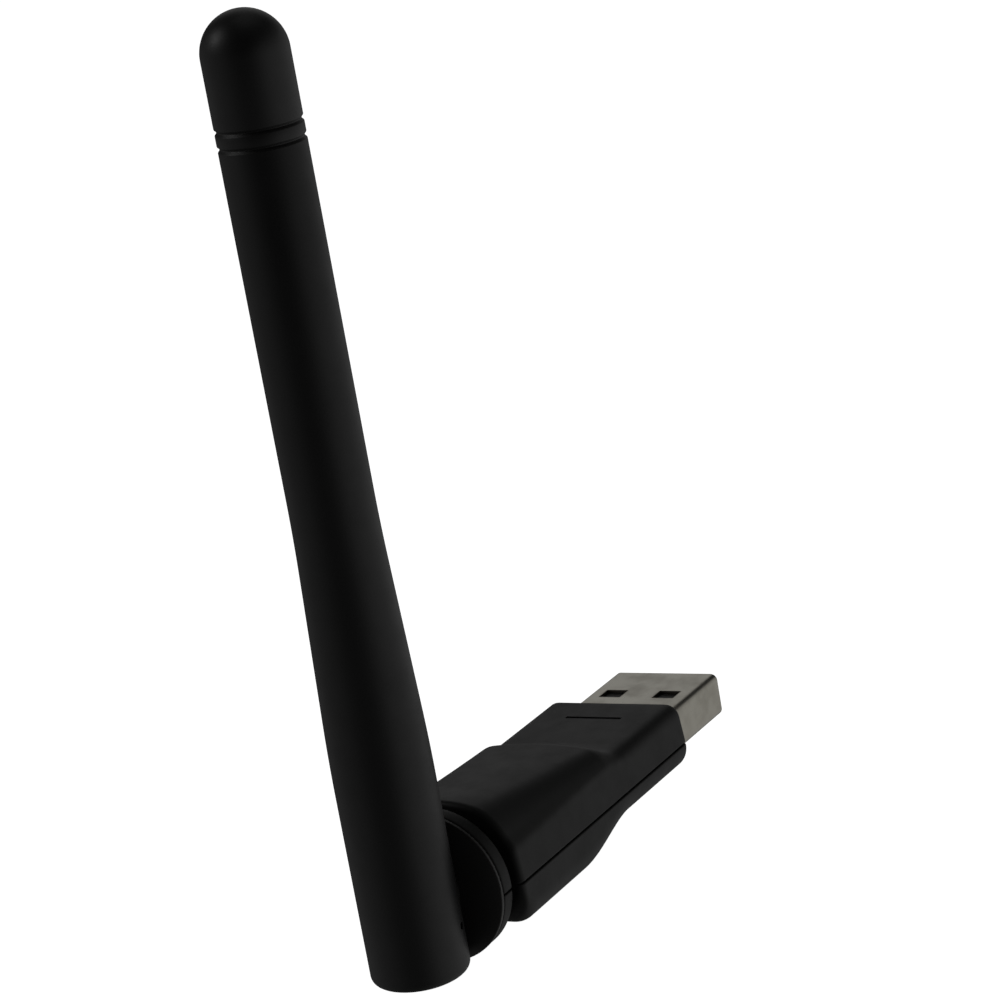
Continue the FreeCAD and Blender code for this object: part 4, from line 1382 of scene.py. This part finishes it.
# ---------------------------------------------------------------- antenna
@dataclass(frozen=True)
class AntennaStick:
    """The stick: a sleeve with a soft flare towards its base, and the domed cap on its tip."""

    sleeve_low: Vector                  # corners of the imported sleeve's and cap's boxes
    sleeve_high: Vector
    cap_low: Vector
    cap_high: Vector
    base_top: float = 15.5 * MM         # the base is straight up to here
    flare_top: float = 36.7 * MM        # and tapers into the stick up to here
    softening: float = 7.0 * MM         # length over which each end of the taper is eased
    bottom_round: float = 0.8 * MM
    wall: float = 1.05 * MM
    solid_top: float = 3.5 * MM         # the base is solid up to here
    groove_z: float = 73.7 * MM         # ring groove on the cap; a second one is at the joint
    groove_half: float = 0.21 * MM
    groove_depth: float = 0.20 * MM
    groove_lip: float = 0.10 * MM       # softness of its edges
    lip_share: float = 0.3              # where the lip's points lie along that length
    seat_depth: float = 0.35 * MM       # the knuckle's disc is let into the base by this much
    seat_r: float = 8.4 * MM
    bore_r: float = 2.95 * MM           # hole for the knuckle's spigot
    exit_half: float = 0.9 * MM         # room for the lead's bend, half its width
    exit_reach: float = 1.4 * MM        # from the disc's face to that room
    pin_hole_r: float = 0.35 * MM
    fit: float = 0.05 * MM
    rings: int = 36                     # rings of points along the taper
    steps: int = 96                     # points round the stick
    rim_steps: int = 8                  # points along the base's rounded rim
    dome_steps: int = 20                # along the dome
    hollow_steps: int = 10              # and along the hollow under it
    past: float = 1.0 * MM              # cutting tools run past the faces by this much

    @classmethod
    def from_frame(cls) -> "AntennaStick":
        """The stick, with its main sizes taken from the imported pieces."""
        return cls(*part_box("antenna_sleeve"), *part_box("tip_cap"))

    @property
    def base_r(self) -> float:
        """Radius of the base."""
        return self.sleeve_high.y

    @property
    def stick_r(self) -> float:
        """Radius of the stick above the taper."""
        return self.cap_high.y

    @property
    def axis(self) -> Pair:
        """Where the stick's axis stands, in X and Y."""
        return self.sleeve_low.x + self.base_r, 0.0

    def radius(self, height: float) -> float:
        """Outside radius of the sleeve.

        Args:
            height: Where.

        Returns:
            The radius.
        """
        half = self.softening / 2

        def ramp(above: float) -> float:
            """0 below the start and the height above it further up, eased between."""
            eased_part = min(max(above + half, 0.0), 2 * half)
            return eased_part ** 2 / (4 * half) + max(above - half, 0.0)

        slope = (self.base_r - self.stick_r) / (self.flare_top - self.base_top)
        return self.base_r - slope * (ramp(height - self.base_top) - ramp(height - self.flare_top))

    def groove(self, height: float, way: int) -> list[Pair]:
        """One flank of a ring groove, from the stick's side to its bottom.

        Args:
            height: Middle of the groove.
            way: +1 for the flank above the middle, -1 for the one below.

        Returns:
            (radius, height) points.
        """
        r, lip, short = self.stick_r, self.groove_lip, self.groove_lip * self.lip_share
        edge = height + way * self.groove_half
        return [(r, edge + way * lip), (r - short, edge + way * short),
                (r - lip, edge - way * short), (r - self.groove_depth, height + way * short)]

    def sleeve(self) -> bpy.types.Object:
        """Makes the sleeve, with its seat and bore for the knuckle and its holes for the pin.

        Returns:
            The sleeve.
        """
        low, top = self.sleeve_low.z, self.sleeve_high.z
        corner = self.base_r - self.bottom_round
        half = self.softening / 2
        heights = np.linspace(self.base_top - half, self.flare_top + half, self.rings).tolist()
        profile = [(0.0, low),
                   *arc((corner, low + self.bottom_round), self.bottom_round, -90, 0, self.rim_steps),
                   *((self.radius(z), z) for z in heights),
                   *self.groove(top, -1),
                   (self.stick_r - self.groove_depth, top), (self.stick_r - self.wall, top),
                   *((self.radius(z) - self.wall, z) for z in reversed(heights)),
                   (self.base_r - self.wall, self.solid_top), (0.0, self.solid_top)]
        sleeve = turned("sleeve_skin", profile, self.axis, self.steps)
        face = self.sleeve_high.x - self.seat_depth
        spigot_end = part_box("swivel_knuckle")[0].x - self.fit
        front = self.sleeve_high.x + self.past
        cut_away(sleeve, rod("seat", Vector((face, 0, 0)), Vector((front, 0, 0)), self.seat_r))
        cut_away(sleeve, rod("bore", Vector((spigot_end, 0, 0)), Vector((front, 0, 0)), self.bore_r))
        room_low = (self.axis[0] - self.exit_half, -self.exit_half, -self.exit_half)
        room_high = (face - self.exit_reach, self.exit_half, self.solid_top + self.fit)
        cut_away(sleeve, bar("bend_room", room_low, room_high, self.fit))
        pin_low, pin_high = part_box("locking_pin")
        middle = (pin_low + pin_high) / 2
        across = Vector((0, self.base_r + self.past, 0))
        cut_away(sleeve, rod("pin_hole", middle - across, middle + across, self.pin_hole_r))
        return sleeve

    def cap(self) -> bpy.types.Object:
        """Makes the domed cap with the spigot that it is pushed in by.

        Returns:
            The cap.
        """
        joint, dome_z = self.sleeve_high.z, self.cap_high.z - self.stick_r
        spigot_r = self.stick_r - self.wall - self.fit
        hollow_r = spigot_r - self.wall
        dome = arc((0.0, dome_z), self.stick_r, 90, 0, self.dome_steps)
        inside = arc((0.0, dome_z), hollow_r, 0, 90, self.hollow_steps)
        profile = [(0.0, dome[0][1]), *dome[1:],
                   *self.groove(self.groove_z, 1), *reversed(self.groove(self.groove_z, -1)),
                   *self.groove(joint, 1), (self.stick_r - self.groove_depth, joint), (spigot_r, joint),
                   (spigot_r, self.cap_low.z), (hollow_r, self.cap_low.z),
                   *inside[:-1], (0.0, inside[-1][1])]
        return turned("cap_skin", profile, self.axis, self.steps)

    def make(self, workshop: Workshop) -> None:
        """Builds and dresses the sleeve and the cap.

        Args:
            workshop: The finishes.
        """
        for skin, node in ((self.sleeve(), "antenna_sleeve"), (self.cap(), "tip_cap")):
            workshop.dress(skin, "antenna_plastic", Body.ANTENNA)
            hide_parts(node)


def main() -> None:
    """Builds and dresses everything."""
    logging.basicConfig(level=logging.INFO, format="%(message)s")
    workshop = Workshop()
    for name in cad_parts:
        workshop.dress_node(name)
    HousingShells.from_frame().make(workshop)
    AntennaStick.from_frame().make(workshop)
    Studio().build(*cad_box)


if __name__ == "__main__":
    main()
